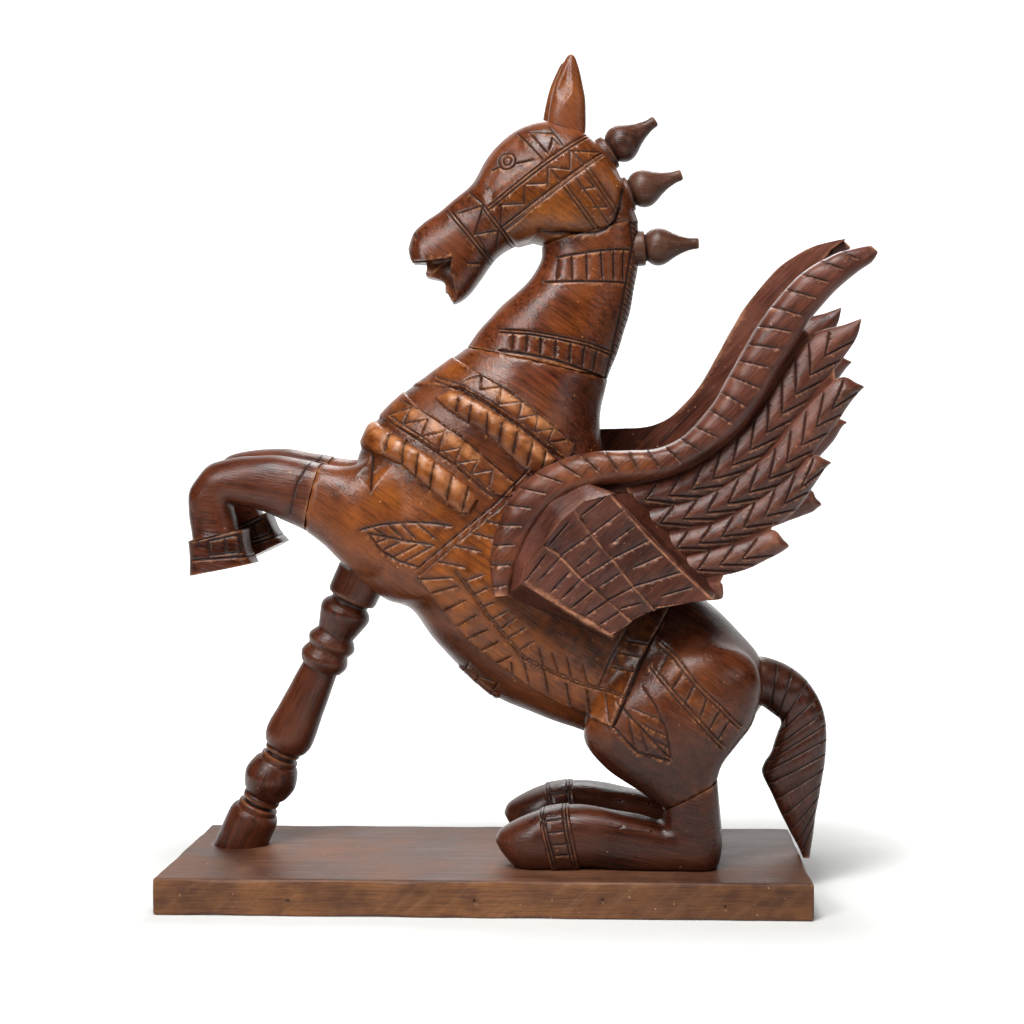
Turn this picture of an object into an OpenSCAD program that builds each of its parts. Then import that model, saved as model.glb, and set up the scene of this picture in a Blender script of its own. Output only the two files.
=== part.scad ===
// Carved winged horse in stained hardwood, kneeling on a plank with a turned post under its chest.
// Millimetres, +Z up, origin on the underside of the plank at its centre.
// The horse looks along -X and its left side is towards -Y.

/* [Plank] */
// Length of the plank
plank_l = 457.2; // [450:0.1:600]
// Depth of the plank from front to back
plank_d = 177.8; // [170:0.1:260]
// Thickness of the plank
plank_t = 26; // [22:0.5:50]
// Chamfer along the plank's edges
plank_edge = 2; // [0.5:0.1:3]

/* [Stance] */
// How far the figure stands behind the plank's centre line
figure_back = 8; // [0:0.5:14]
// Gap between the tail's tip and the end of the plank
tail_gap = 2.4; // [2:0.1:12]
// From the figure's middle plane to each hind leg's centre
hind_spread = 48; // [44:0.5:54]
// From the figure's middle plane to each foreleg's centre
fore_spread = 25; // [23:0.5:30]
// How far the right foreleg is folded back under its knee, in degrees
right_fold = 14; // [0:0.5:20]
// How much higher the right foreleg is carried
right_foreleg_raise = 5; // [0:0.5:8]

/* [Chest relief] */
// Thickness of the garland rolls across the chest
roll_d = 16; // [13:0.5:18]
// How far the garland rolls stand out of the flanks
roll_h = 4.2; // [2.5:0.1:6]

/* [Neck, head and ears] */
// From the figure's middle plane to each ear's centre
ear_spread = 12; // [10:0.5:14]
// How far the right ear leans forward of the left one
right_ear_forward = 5; // [0:0.5:8]
// Height of an ear above its seat
ear_h = 54; // [40:0.5:70]
// Width of an ear across its widest part
ear_w = 27; // [22:0.5:30]
// Thickness of an ear
ear_t = 16; // [12:0.5:18]
// How far the ear seats are cut below the top of the crown
ear_seat_depth = 8; // [6:0.5:12]

/* [Wings] */
// From the figure's middle plane to the back of each wing
wing_seat = 42; // [38:0.5:46]
// Thickness of the wing's back plate
wing_plate_t = 14; // [10:0.5:18]
// Thickness of the ringed leading rib at its root
rib_t = 29; // [24:0.5:34]
// Thickness of a feather along its middle
feather_t = 15; // [10:0.5:18]
// How far the shoulder panel stands out from the back of the wing
panel_t = 36; // [30:0.5:40]
// How much higher the right wing is set
right_wing_raise = 17; // [0:0.5:20]
// How far the right wing is set forward
right_wing_forward = 4; // [0:0.5:8]

/* [Mane finials] */
// Diameter of a finial's collar
collar_d = 26; // [20:0.5:30]
// Thickness of a finial's collar
collar_t = 9; // [6:0.5:12]
// Largest diameter of a finial's bulb
bulb_d = 27.6; // [20:0.2:32]
// Diameter of a finial's end
finial_end_d = 8; // [6:0.5:12]
// Length of a finial from its seat to its end
finial_l = 48; // [40:0.5:60]

/* [Support post] */
// Diameter of the post's foot
foot_d = 38; // [32:0.5:44]
// Diameter of the ball above the foot
ball_d = 40; // [34:0.5:46]
// Largest diameter of the long vase
vase_d = 36.8; // [32:0.2:42]
// Diameter of the two rings above the vase
ring_d = 36.4; // [32:0.2:42]
// Diameter of the head that seats under the chest
post_head_d = 38; // [34:0.5:42]
// Length of the post from the plank to its seat in the chest
post_l = 228; // [224:0.5:234]

/* [Joinery] */
// Diameter of the glued dowels
dowel_d = 10; // [8:0.5:12]
// How deep a dowel goes into each piece
dowel_grip = 18; // [12:0.5:20]
// Diameter of the turned and carved tenons
tenon_d = 12; // [8:0.5:13]
// Length of a finial, ear or tail tenon
tenon_l = 14; // [8:0.5:16]
// Room for glue around dowels and tenons
glue_gap = 0.1; // [0.05:0.05:0.3]
// Room left at the blind end of a bore
end_gap = 1; // [0.5:0.1:2]
// Room around a wing in its housing and around a collar in its seat
seat_gap = 0.3; // [0.1:0.05:0.6]
// Wood left in the plank under the post's tenon
tenon_floor = 6; // [4:0.5:10]

/* [Screws] */
// Diameter of the screws that hold the hind legs
screw_d = 4; // [3:0.5:5]
// Diameter of the countersunk screw heads
screw_head_d = 8; // [7:0.5:10]
// How far a screw goes into a leg
screw_bite = 22; // [14:0.5:26]
// How far the screw heads lie below the plank's underside
screw_sink = 0.8; // [0.4:0.1:2]
// Room around a screw in its hole
screw_gap = 0.1; // [0.05:0.05:0.4]

/* [Hidden] */
$fn = 48;
left = -1;
right = 1;
// Size of a cutting block, larger than the whole figure
big = 900;
// How far a cut runs past the face it opens
past = 1;
// How far a tenon runs back into the piece it belongs to
tenon_root = 6;
// Depth by which the panel and the feathers are let into the wing's plate
plate_lap = 2;
// Where the post's turning starts, low enough for the plank's plane to cut it all round
post_start = -14;
stain = "#5a2f1e";
dark_stain = "#45231a";
golden = "#8a4f22";
plank_brown = "#6b4a35";
birch = "#c9a878";
steel = "#9a9a98";

// Stations of the carved pieces, in the figure's frame: z is measured from the top of the plank.
// Each is [x and z of one edge, x and z of the other edge, half width, squareness],
// and for a piece off the middle plane also the y of its middle.
neck_joint = [-14, 373, 89, 349, 34, 2.3];
head_joint = [41, 445, 112, 463, 27, 2.3];
tail_joint = [204, 144, 201, 108, 17, 2];
hock_joint = [127, 42, 166, 62, 20, 2.4];
fore_joint = [-119, 288, -131, 239, 21, 2.4];

torso_stations = [neck_joint,
    [-37, 356, 83, 319, 39, 2.4], [-61, 339, 86, 298, 43, 2.5], [-79, 322, 91, 282, 46, 2.5],
    [-93, 298, 97, 269, 48, 2.6], [-102, 261, 103, 258, 50, 2.7], [-104, 216, 109, 247, 51, 2.8],
    [-78, 189, 115, 238, 52, 2.7], [-56, 180, 120, 230, 52, 2.6], [-36, 153, 127, 221, 52, 2.5],
    [1, 119, 134, 211, 52, 2.5], [31, 104, 142, 201, 52, 2.4], [65, 92, 150, 191, 52, 2.4],
    [97, 79, 163, 184, 50, 2.4], [127, 75, 181, 168, 46, 2.3], [160, 79, 196, 153, 38, 2.2],
    [186, 92, 203, 147, 26, 2.1], [201, 108, 204, 144, 17, 2]];
// Centre lines of the garland rolls, seen from the side
roll_lines = [[[-27, 333], [12, 311], [45, 285]], [[-75, 307], [-43, 286], [-11, 260]]];
shoulder_stations = [[-60, 296, -50, 200, 20, 2.4], [-80, 292, -78, 203, 24, 2.4],
    [-98, 286, -101, 213, 23, 2.4], [-109, 286, -117, 228, 22, 2.4], fore_joint];
thigh_stations = [[118, 150, 182, 160, 14, 2.2], [88, 124, 199, 146, 24, 2.3], [71, 95, 194, 110, 27, 2.4],
    [86, 71, 181, 89, 25, 2.4], [111, 54, 169, 73, 22, 2.4], hock_joint];
neck_stations = [neck_joint, [-2, 389, 100, 379, 32, 2.3], [14, 405, 107, 404, 30, 2.3],
    [29, 418, 111, 427, 28, 2.3], [40, 434, 112, 445, 27, 2.3], head_joint];
head_stations = [[93, 509, 112, 463, 14, 2], [83, 520, 109, 450, 24, 2.2], [70, 531, 91, 446, 30, 2.3],
    [55, 536, 69, 444, 33, 2.3], [40, 537, 49, 445, 34, 2.3], [26, 532, 31, 449, 33, 2.3],
    [11, 521, 18, 445, 31, 2.3], [0, 508, 9, 439, 28, 2.3], [-10, 492, 3, 432, 25, 2.3],
    [-23, 481, -4, 422, 23, 2.4], [-34, 472, -13, 411, 22, 2.5], [-45, 465, -22, 405, 21, 2.6],
    [-53, 457, -36, 402, 20, 2.5], [-57, 446, -44, 404, 15, 2.2]];
foreleg_stations = [fore_joint, [-135, 291, -147, 247, 20.5, 2.4], [-153, 294, -161, 253, 20, 2.4],
    [-179, 293, -174, 256, 19.5, 2.4], [-198, 289, -181, 258, 19, 2.4], [-209, 280, -183, 259, 18.5, 2.4],
    [-216, 268, -185, 256, 18, 2.4], [-217, 254, -183, 248, 17, 2.5], [-215, 240, -181, 240, 17, 2.6],
    [-214, 232, -178, 236, 18, 2.8]];
hoof_stations = [[-216, 232, -175, 241, 21, 4], [-215, 220, -173, 227, 21, 4], [-215, 207, -168, 216, 22, 4]];
knee_pivot = [-195, 275];
knee_station = 5;
hind_leg_stations = [hock_joint, [127, 36, 168, 38, 20, 2.5], [126, 33, 169, 14, 20, 2.7],
    [123, 32, 162, -3, 20, 2.9], [116, 34, 138, -4, 20, 3], [104, 37, 104, -3, 19.5, 3],
    [83, 41, 82, -1, 19.5, 2.9],
    [65, 43, 62, -1, 20, 2.8], [43, 40, 47, -3, 21, 2.7], [33, 37, 33, -4, 21, 2.6], [20, 31, 22, 0, 17, 2.4],
    [11, 25, 13, 9, 10, 2.2], [8, 19, 9, 16, 4, 2]];
tail_stations = [tail_joint, [218, 139, 207, 104, 16.5, 2.2], [231, 130, 212, 100, 15, 2.6],
    [241, 117, 214, 96, 14, 2.8], [247, 101, 212, 88, 13.5, 3], [248, 84, 208, 75, 13, 3],
    [247, 67, 201, 62, 12.5, 3],
    [244, 48, 206, 48, 11.5, 3], [241, 30, 216, 27, 10, 2.8], [238, 10, 226, 7, 7, 2.6],
    [236, -4, 231, -4, 3, 2.4]];
tail_tip_x = tail_stations[len(tail_stations) - 1][2];
ear_outline = [[-0.5, 0, 0.5, 0, 0.42, 2.3], [-0.5, 0.2, 0.5, 0.22, 0.5, 2.2],
    [-0.42, 0.42, 0.47, 0.45, 0.48, 2.1],
    [-0.26, 0.7, 0.36, 0.75, 0.36, 2], [-0.06, 0.93, 0.24, 0.95, 0.18, 2], [0.06, 1, 0.16, 1, 0.06, 2]];
ear_x = 60.5;
crown_z = max([for (st = head_stations) st[1]]);
ear_seat_z = crown_z - ear_seat_depth;

// Wing outlines seen from the side: the rib's two edges, then the feathers' upper and lower edges
rib_stations = [[8, 194, 21, 195], [6, 213, 25, 211], [7, 230, 29, 228], [13, 248, 35, 244],
    [22, 265, 45, 258], [36, 279, 59, 269], [55, 289, 73, 274], [77, 295, 89, 277],
    [101, 296, 106, 277], [122, 297, 131, 279], [138, 303, 153, 289], [151, 314, 170, 301],
    [164, 330, 184, 313], [174, 347, 198, 332], [184, 365, 212, 356], [195, 384, 224, 375],
    [207, 400, 232, 388], [224, 418, 246, 407], [246, 431, 260, 421], [264, 436, 271, 428],
    [272, 437, 277, 432]];
rib_taper = [1, 1, 1, 1, 1, 1, 1, 1, 1, 1, 1, 1, 1, 1, 0.98, 0.95, 0.9, 0.8, 0.62, 0.4, 0.25];
feather_stations = [
    [[101, 271, 112, 253], [146, 284, 157, 261], [184, 313, 198, 290], [212, 351, 229, 327],
        [230, 375, 248, 352], [255, 383, 262, 372], [266, 387, 266, 385]],
    [[112, 254, 122, 236], [157, 266, 165, 245], [198, 292, 210, 269], [229, 329, 240, 302],
        [251, 346, 255, 323], [263, 342, 264, 335], [267, 340, 268, 339]],
    [[122, 237, 134, 218], [165, 247, 175, 229], [205, 271, 214, 247], [230, 291, 232, 269],
        [241, 289, 241, 282], [245, 287, 245, 286]],
    [[136, 221, 149, 203], [177, 231, 184, 211], [203, 240, 205, 221], [212, 233, 212, 225],
        [215, 230, 216, 228]],
    [[146, 207, 156, 190], [167, 204, 168, 191], [170, 197, 170, 194]]];
// How much longer each feather of the right wing is
right_feather_extra = [[4, 0], [10, 6], [29, 13], [39, 9], [30, 6]];
plate_feather_edge = [[262, 430], [240, 404], [226, 380], [246, 360], [248, 340], [233, 312],
    [229, 284], [208, 252], [200, 232], [172, 212], [164, 194]];
plate_lower_edge = [[121, 185], [92, 167], [60, 180], [30, 194]];
panel_top = [[29, 204], [33, 217], [46, 232], [57, 248], [73, 261], [92, 266], [161, 193], [146, 190],
    [121, 185], [106, 178], [92, 167]];
panel_foot = [[17, 194], [22, 220], [36, 240], [50, 258], [72, 270], [112, 266], [167, 196], [150, 190],
    [122, 184], [107, 176], [92, 161]];
wing_dowel_places = [[58, 236], [92, 205]];

// Seats of the mane finials: x, z and the angle above level
finial_seats = [[87, 512, 33], [101, 482.5, 19], [111, 444, 4]];
finial_sink = 3;

// Post axis
post_foot = [-190, 14, 0];
post_aim = [-96, 3, 201];
foot_screw_x = [148, 56];

// Mouth outlines: one cut right through the muzzle, one cut at both sides of the tongue
lip_cut = [[-80, 435], [-43, 434.5], [-42.5, 425], [-30, 421], [-27.5, 411.5], [-24, 406.5], [-23, 390],
    [-80, 390]];
mouth_side = [[-80, 436], [-37, 435.5], [-23, 437], [-25, 425], [-22.5, 422.5], [-20.5, 410], [-21, 390],
    [-80, 390]];
tongue_t = 18;

post_axis = post_aim - post_foot;
post_lean = acos(post_axis[2] / norm(post_axis));
post_heading = atan2(post_axis[1], post_axis[0]);
foot_tenon_l = (plank_t - tenon_floor - tenon_d / 2 * sin(post_lean)) / cos(post_lean);
bore_d = dowel_d + 2 * glue_gap;
socket_d = tenon_d + 2 * glue_gap;
figure_x = plank_l / 2 - (tail_tip_x - tail_gap);

// Smooth curves and lofts
function spline(a, b, c, d, t) =
    0.5 * (2 * b + (c - a) * t + (2 * a - 5 * b + 4 * c - d) * t * t + (3 * b - a - 3 * c + d) * t * t * t);
function along(list, s) =
    let (last = len(list) - 1, i = min(floor(s), last - 1))
    spline(list[max(i - 1, 0)], list[i], list[i + 1], list[min(i + 2, last)], s - i);
function smooth(list, steps) =
    let (spans = len(list) - 1)
    [for (k = [0 : spans * steps]) along(list, k / steps)];
function power(v, e) = sign(v) * pow(abs(v), e);
function ring(st, sides) =
    [for (j = [0 : sides - 1])
        let (up = power(cos(360 * j / sides), 2 / st[5]), out = power(sin(360 * j / sides), 2 / st[5]))
        [(st[0] + st[2]) / 2 + (st[0] - st[2]) / 2 * up, (len(st) > 6 ? st[6] : 0) + st[4] * out,
            (st[1] + st[3]) / 2 + (st[1] - st[3]) / 2 * up]];
function turn(p, pivot, angle) =
    let (d = p - pivot)
    pivot + [d[0] * cos(angle) - d[1] * sin(angle), d[0] * sin(angle) + d[1] * cos(angle)];
function turn_station(st, pivot, angle) =
    let (a = turn([st[0], st[1]], pivot, angle), b = turn([st[2], st[3]], pivot, angle))
    [a[0], a[1], b[0], b[1], st[4], st[5]];
function middle(st) = [(st[0] + st[2]) / 2, (st[1] + st[3]) / 2];
function swap_edges(st) = concat([st[2], st[3], st[0], st[1]], [for (i = [4 : len(st) - 1]) st[i]]);
// True where the first edge lies on the wrong hand of the way the stations run, so faces would point inwards
function runs_clockwise(stations) =
    let (way = middle(stations[1]) - middle(stations[0]))
    cross(across(stations[0]), way) > 0;

function across(st) = [st[0] - st[2], st[1] - st[3]];
function off_ring(p, st) = abs(cross(p - middle(st), across(st))) / norm(across(st));
// Half width of the torso at a point drawn from the side, on the ring that lies nearest to it
function flank(p) =
    let (rings = smooth(torso_stations, 6), gaps = [for (st = rings) off_ring(p, st)],
        st = rings[search(min(gaps), gaps)[0]],
        share = abs((p - middle(st)) * across(st)) * 2 / (across(st) * across(st)))
    st[4] * pow(1 - pow(min(share, 1), st[5]), 1 / st[5]);

module loft(stations, steps = 2, sides = 16) {
    smoothed = smooth(stations, steps);
    rows = runs_clockwise(stations) ? [for (st = smoothed) swap_edges(st)] : smoothed;
    last = len(rows) - 1;
    points = [for (st = rows) each ring(st, sides)];
    walls = [for (k = [0 : last - 1]) for (j = [0 : sides - 1])
        let (a = k * sides + j, b = k * sides + (j + 1) % sides)
        each [[a, b, a + sides], [b, b + sides, a + sides]]];
    start_cap = [for (j = [0 : sides - 1]) sides - 1 - j];
    end_cap = [for (j = [0 : sides - 1]) last * sides + j];
    polyhedron(points, concat(walls, [start_cap, end_cap]));
}

// One closed mesh of everything inside, at its own size
module one_piece() {
    resize([0, 0, 0]) union() {
        children();
    }
}

// Places in the figure's frame
module in_figure(side_y = 0) {
    translate([figure_x, figure_back + side_y, plank_t]) children();
}

// Puts the local XY plane on a joint, at a share of the way from its first edge to its second
module at_joint(st, share = 0.5) {
    x = st[0] + (st[2] - st[0]) * share;
    z = st[1] + (st[3] - st[1]) * share;
    translate([x, 0, z]) rotate([0, -atan2(st[3] - st[1], st[2] - st[0]), 0]) children();
}

// Cuts away what lies under a joint, from the joint's front edge back, so that the chin in front stays
module under_joint(st) {
    at_joint(st, 0) translate([0, -big, -2 * big]) cube(2 * big);
}

module dowel() {
    translate([0, 0, -dowel_grip]) cylinder(d = dowel_d, h = 2 * dowel_grip - end_gap);
}

module dowel_bore() {
    translate([0, 0, -dowel_grip]) cylinder(d = bore_d, h = 2 * dowel_grip);
}

module at_post() {
    translate(post_foot) rotate([0, 0, post_heading]) rotate([0, post_lean, 0]) children();
}

module at_finial(seat) {
    translate([seat[0], 0, seat[1]]) rotate([0, 90 - seat[2], 0]) children();
}

module at_ear(side) {
    forward = side == right ? right_ear_forward : 0;
    translate([ear_x - forward, side * ear_spread, ear_seat_z]) children();
}

module ear_tenon(d, l) {
    translate([0, 0, -l]) cylinder(d = d, h = l + past);
}

// Clears the crown above the plane that an ear stands on
module ear_seat() {
    outline = ring([-ear_w / 2 - seat_gap, 0, ear_w / 2 + seat_gap, 0, ear_t / 2 + seat_gap, 2.3], 24);
    linear_extrude(ear_h) polygon([for (p = outline) [p[0], p[1]]]);
}

module at_screws() {
    for (side = [left, right]) for (x = foot_screw_x)
        in_figure(side * hind_spread) translate([x, 0, 0]) children();
}

// Sub-parts
module base_plank() {
    color(plank_brown) difference() {
        intersection() {
            plank_bar(plank_l, plank_d);
            rotate([0, 0, 90]) plank_bar(plank_d, plank_l);
        }
        in_figure() at_post() translate([0, 0, -foot_tenon_l]) cylinder(d = socket_d, h = 2 * foot_tenon_l);
        at_screws() screw_hole();
    }
}

// A bar along X with chamfered long edges
module plank_bar(l, d) {
    e = plank_edge;
    rotate([90, 0, 90]) linear_extrude(l, center = true)
        polygon([[-d / 2 + e, 0], [d / 2 - e, 0], [d / 2, e], [d / 2, plank_t - e], [d / 2 - e, plank_t],
            [-d / 2 + e, plank_t], [-d / 2, plank_t - e], [-d / 2, e]]);
}

module screw_hole() {
    head_depth = (screw_head_d - screw_d) / 2;
    translate([0, 0, -plank_t - past]) cylinder(d = screw_d + 2 * screw_gap, h = plank_t + 2 * past);
    translate([0, 0, -plank_t - past]) cylinder(d = screw_head_d + 2 * screw_gap, h = past + screw_sink);
    translate([0, 0, -plank_t + screw_sink])
        cylinder(d1 = screw_head_d + 2 * screw_gap, d2 = screw_d + 2 * screw_gap, h = head_depth);
}

module base_screws() {
    head_depth = (screw_head_d - screw_d) / 2;
    color(steel) at_screws() translate([0, 0, -plank_t + screw_sink]) {
        cylinder(d1 = screw_head_d, d2 = screw_d, h = head_depth);
        translate([0, 0, head_depth])
            cylinder(d = screw_d, h = plank_t - screw_sink - head_depth + screw_bite);
    }
}

// Turned profile of the post: distance from the plank, in hundredths of its length, and radius
function post_profile() =
    let (f = foot_d / 2, b = ball_d / 2, v = vase_d / 2, r = ring_d / 2, h = post_head_d / 2,
        step = post_l / 100)
    concat([[post_start, f]], [for (p = smooth([
        [6.1, f], [11, f * 0.98], [13.6, f * 0.87], [14.7, f * 0.74], [15.8, f * 0.58], [16.9, f * 0.71],
        [18, f * 0.76], [20.2, b * 0.85], [24.6, b], [29, b * 0.87], [31.6, b * 0.7], [32.7, b * 0.67],
        [33.8, b * 0.55], [34.9, b * 0.67], [36.4, v * 0.86], [40.8, v], [49.1, v * 0.91], [57, v * 0.83],
        [65.4, v * 0.75], [66, r * 0.87], [68.9, r], [71.7, r * 0.87], [72.2, r * 0.86], [74.8, r],
        [77.2, r * 0.85], [78.1, r * 0.78], [81.6, h * 0.87], [85.5, h], [87.7, h * 0.92], [89.3, h * 0.74],
        [90.8, h * 0.84], [91.7, h * 0.98]], 2)) [p[0] * step, p[1]]], [[post_l, h]]);

module support_post() {
    color(dark_stain) in_figure() {
        difference() {
            at_post() rotate_extrude()
                polygon(concat([[0, post_start]], [for (p = post_profile()) [p[1], p[0]]], [[0, post_l]]));
            translate([-big, -big, -2 * big]) cube(2 * big);
        }
        at_post() translate([0, 0, -foot_tenon_l + end_gap])
            cylinder(d = tenon_d, h = foot_tenon_l + tenon_root);
        at_post() translate([0, 0, post_l - tenon_root]) cylinder(d = tenon_d, h = tenon_l + tenon_root);
    }
}

// A roll along a line drawn from the side, sunk into one flank and rounded off at its ends
module garland_roll(line, side) {
    way = line[2] - line[0];
    square_off = [-way[1], way[0]] / norm(way);
    loft([for (step = [[0, 0.4], [0.15, 1], [1, 1], [1.85, 1], [2, 0.4]])
        let (p = along(line, step[0]), r = step[1] * roll_d / 2,
            a = p + r * square_off, b = p - r * square_off)
        [a[0], a[1], b[0], b[1], r, 2, side * (flank(p) + roll_h - roll_d / 2)]], 2, 12);
}

module torso() {
    color(golden) in_figure() difference() {
        one_piece() difference() {
            union() {
                loft(torso_stations, 2, 26);
                for (side = [left, right]) {
                    for (line = roll_lines) garland_roll(line, side);
                    at_foreleg(side) loft(shoulder_stations, 2, 16);
                    translate([0, side * hind_spread, 0]) loft(thigh_stations, 2, 18);
                }
            }
            for (side = [left, right]) at_wing(side) wing_housing();
        }
        at_joint(neck_joint, 0.32) dowel_bore();
        at_joint(neck_joint, 0.68) dowel_bore();
        for (side = [left, right]) {
            at_foreleg(side) at_joint(fore_joint) dowel_bore();
            translate([0, side * hind_spread, 0]) at_joint(hock_joint) dowel_bore();
            at_wing(side) for (place = wing_dowel_places) at_wing_dowel(place) dowel_bore();
        }
        at_joint(tail_joint) translate([0, 0, -tenon_l - end_gap]) cylinder(d = socket_d, h = 2 * tenon_l);
        at_post() cylinder(d = post_head_d + 2 * seat_gap, h = post_l);
        at_post() translate([0, 0, post_l - past]) cylinder(d = socket_d, h = tenon_l + end_gap + past);
    }
}

module neck() {
    color(stain) in_figure() difference() {
        loft(neck_stations, 3, 24);
        at_joint(neck_joint, 0.32) dowel_bore();
        at_joint(neck_joint, 0.68) dowel_bore();
        at_joint(head_joint) dowel_bore();
        finial_bore(finial_seats[2]);
    }
}

module neck_dowels() {
    color(birch) in_figure() for (share = [0.32, 0.68]) at_joint(neck_joint, share) dowel();
}

module head_dowel() {
    color(birch) in_figure() at_joint(head_joint) dowel();
}

module head() {
    color(stain) in_figure() difference() {
        one_piece() difference() {
            loft(head_stations, 2, 22);
            under_joint(head_joint);
            cut_across(lip_cut);
            for (side = [left, right]) cut_beside_tongue(side);
            for (side = [left, right]) at_ear(side) ear_seat();
        }
        at_joint(head_joint) dowel_bore();
        for (side = [left, right]) at_ear(side) ear_tenon(socket_d, tenon_l + end_gap);
        finial_bore(finial_seats[0]);
        finial_bore(finial_seats[1]);
    }
}

// Cuts a side outline right across the muzzle
module cut_across(outline) {
    rotate([90, 0, 0]) linear_extrude(2 * big, center = true) polygon(outline);
}

module cut_beside_tongue(side) {
    translate([0, side * (tongue_t / 2 + big), 0]) cut_across(mouth_side);
}

module ear(side) {
    color(stain) in_figure() at_ear(side) {
        loft([for (st = ear_outline) [st[0] * ear_w, st[1] * ear_h, st[2] * ear_w, st[3] * ear_h,
            st[4] * ear_t, st[5]]],
            2, 12);
        ear_tenon(tenon_d, tenon_l);
    }
}

module ear_left() {
    ear(left);
}

module ear_right() {
    ear(right);
}

// Turned profile of a finial: distance from its seat and radius, the bulb in shares of its own length
function finial_profile() =
    let (c = collar_d / 2, b = bulb_d / 2, e = finial_end_d / 2, t = collar_t, rest = finial_l - collar_t)
    smooth([[0, c * 0.92], [t * 0.25, c], [t * 0.7, c], [t, c * 0.85], [t + rest * 0.03, c * 0.75],
        [t + rest * 0.06, b * 0.81], [t + rest * 0.15, b * 0.96], [t + rest * 0.26, b],
        [t + rest * 0.38, b * 0.9], [t + rest * 0.54, b * 0.64], [t + rest * 0.69, e * 1.55],
        [t + rest * 0.85, e * 1.1], [t + rest * 0.97, e], [finial_l, e * 0.8]], 3);

module finial(seat) {
    color(dark_stain) in_figure() at_finial(seat) translate([0, 0, -finial_sink]) {
        rotate_extrude() polygon(concat([[0, 0]], [for (p = finial_profile()) [p[1], p[0]]],
            [[0, finial_l]]));
        translate([0, 0, -tenon_l]) cylinder(d = tenon_d, h = tenon_l + tenon_root);
    }
}

module finial_bore(seat) {
    at_finial(seat) translate([0, 0, -finial_sink]) {
        cylinder(d = collar_d + 2 * seat_gap, h = finial_l);
        translate([0, 0, -tenon_l - end_gap]) cylinder(d = socket_d, h = finial_l);
    }
}

module mane_finial_upper() {
    finial(finial_seats[0]);
}

module mane_finial_middle() {
    finial(finial_seats[1]);
}

module mane_finial_lower() {
    finial(finial_seats[2]);
}

module at_foreleg(side) {
    translate([0, side * fore_spread, side == right ? right_foreleg_raise : 0]) children();
}

module foreleg(side) {
    fold = side == right ? right_fold : 0;
    leg = [for (i = [0 : len(foreleg_stations) - 1])
        turn_station(foreleg_stations[i], knee_pivot, fold * max(0, min(1, i - knee_station + 1)))];
    color(stain) in_figure() at_foreleg(side) difference() {
        one_piece() {
            loft(leg, 2, 16);
            loft([for (st = hoof_stations) turn_station(st, knee_pivot, fold)], 1, 16);
        }
        at_joint(fore_joint) dowel_bore();
    }
}

module foreleg_left() {
    foreleg(left);
}

module foreleg_right() {
    foreleg(right);
}

module foreleg_dowels() {
    color(birch) in_figure() for (side = [left, right]) at_foreleg(side) at_joint(fore_joint) dowel();
}

module hind_leg(side) {
    color(dark_stain) difference() {
        in_figure(side * hind_spread) one_piece() difference() {
            loft(hind_leg_stations, 2, 16);
            translate([-big, -big, -2 * big]) cube(2 * big);
        }
        in_figure(side * hind_spread) at_joint(hock_joint) dowel_bore();
        in_figure(side * hind_spread) for (x = foot_screw_x)
            translate([x, 0, -past]) cylinder(d = screw_d + 2 * screw_gap, h = screw_bite + past + end_gap);
    }
}

module hind_leg_left() {
    hind_leg(left);
}

module hind_leg_right() {
    hind_leg(right);
}

module hind_leg_dowels() {
    color(birch) for (side = [left, right]) in_figure(side * hind_spread) at_joint(hock_joint) dowel();
}

// The wing is drawn for the left side with its back on the plane y = 0, and mirrored for the right
module at_wing(side) {
    dx = side == right ? -right_wing_forward : 0;
    dz = side == right ? right_wing_raise : 0;
    translate([dx, side * wing_seat, dz]) mirror([0, side == right ? 1 : 0, 0]) children();
}

module at_wing_dowel(place) {
    translate([place[0], 0, place[1]]) rotate([90, 0, 0]) children();
}

function wing_outline() = concat([for (st = rib_stations) [st[0], st[1]]], plate_feather_edge,
    plate_lower_edge);

// Clears the flank for the wing's plate, and for the panel's foot where that stands wider
module wing_housing() {
    rotate([90, 0, 0]) linear_extrude(big) offset(delta = seat_gap) polygon(wing_outline());
    translate([0, plate_lap - wing_plate_t + seat_gap, 0])
        rotate([90, 0, 0]) linear_extrude(big) offset(delta = seat_gap) polygon(panel_foot);
}

module wing_body(side) {
    rotate([90, 0, 0]) linear_extrude(wing_plate_t) polygon(wing_outline());
    translate([0, -rib_t / 2, 0])
        loft([for (i = [0 : len(rib_stations) - 1]) concat(rib_stations[i],
            [rib_t / 2 * rib_taper[i], 2.2])], 1, 12);
    for (i = [0 : len(feather_stations) - 1]) {
        extra = side == right ? right_feather_extra[i] : [0, 0];
        rows = feather_stations[i];
        last = len(rows) - 1;
        translate([0, plate_lap - wing_plate_t, 0])
            loft([for (k = [0 : last])
                let (share = min(1, k / max(1, last - 2)),
                    end_taper = k == last ? 0.15 : k == last - 1 ? 0.55 : 1)
                concat(rows[k] + share * [extra[0], extra[1], extra[0], extra[1]],
                    [feather_t / 2 * end_taper, 1.7])], 2, 8);
    }
    panel();
}

module panel() {
    n = len(panel_top);
    points = concat([for (p = panel_foot) [p[0], plate_lap - wing_plate_t, p[1]]],
        [for (p = panel_top) [p[0], -panel_t, p[1]]]);
    walls = [for (j = [0 : n - 1]) each [[j, (j + 1) % n, j + n], [(j + 1) % n, (j + 1) % n + n, j + n]]];
    polyhedron(points, concat(walls, [[for (j = [0 : n - 1]) n - 1 - j], [for (j = [0 : n - 1]) n + j]]));
}

module wing(side) {
    color(dark_stain) in_figure() at_wing(side) difference() {
        one_piece() wing_body(side);
        for (place = wing_dowel_places) at_wing_dowel(place) dowel_bore();
    }
}

module wing_left() {
    wing(left);
}

module wing_right() {
    wing(right);
}

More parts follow.
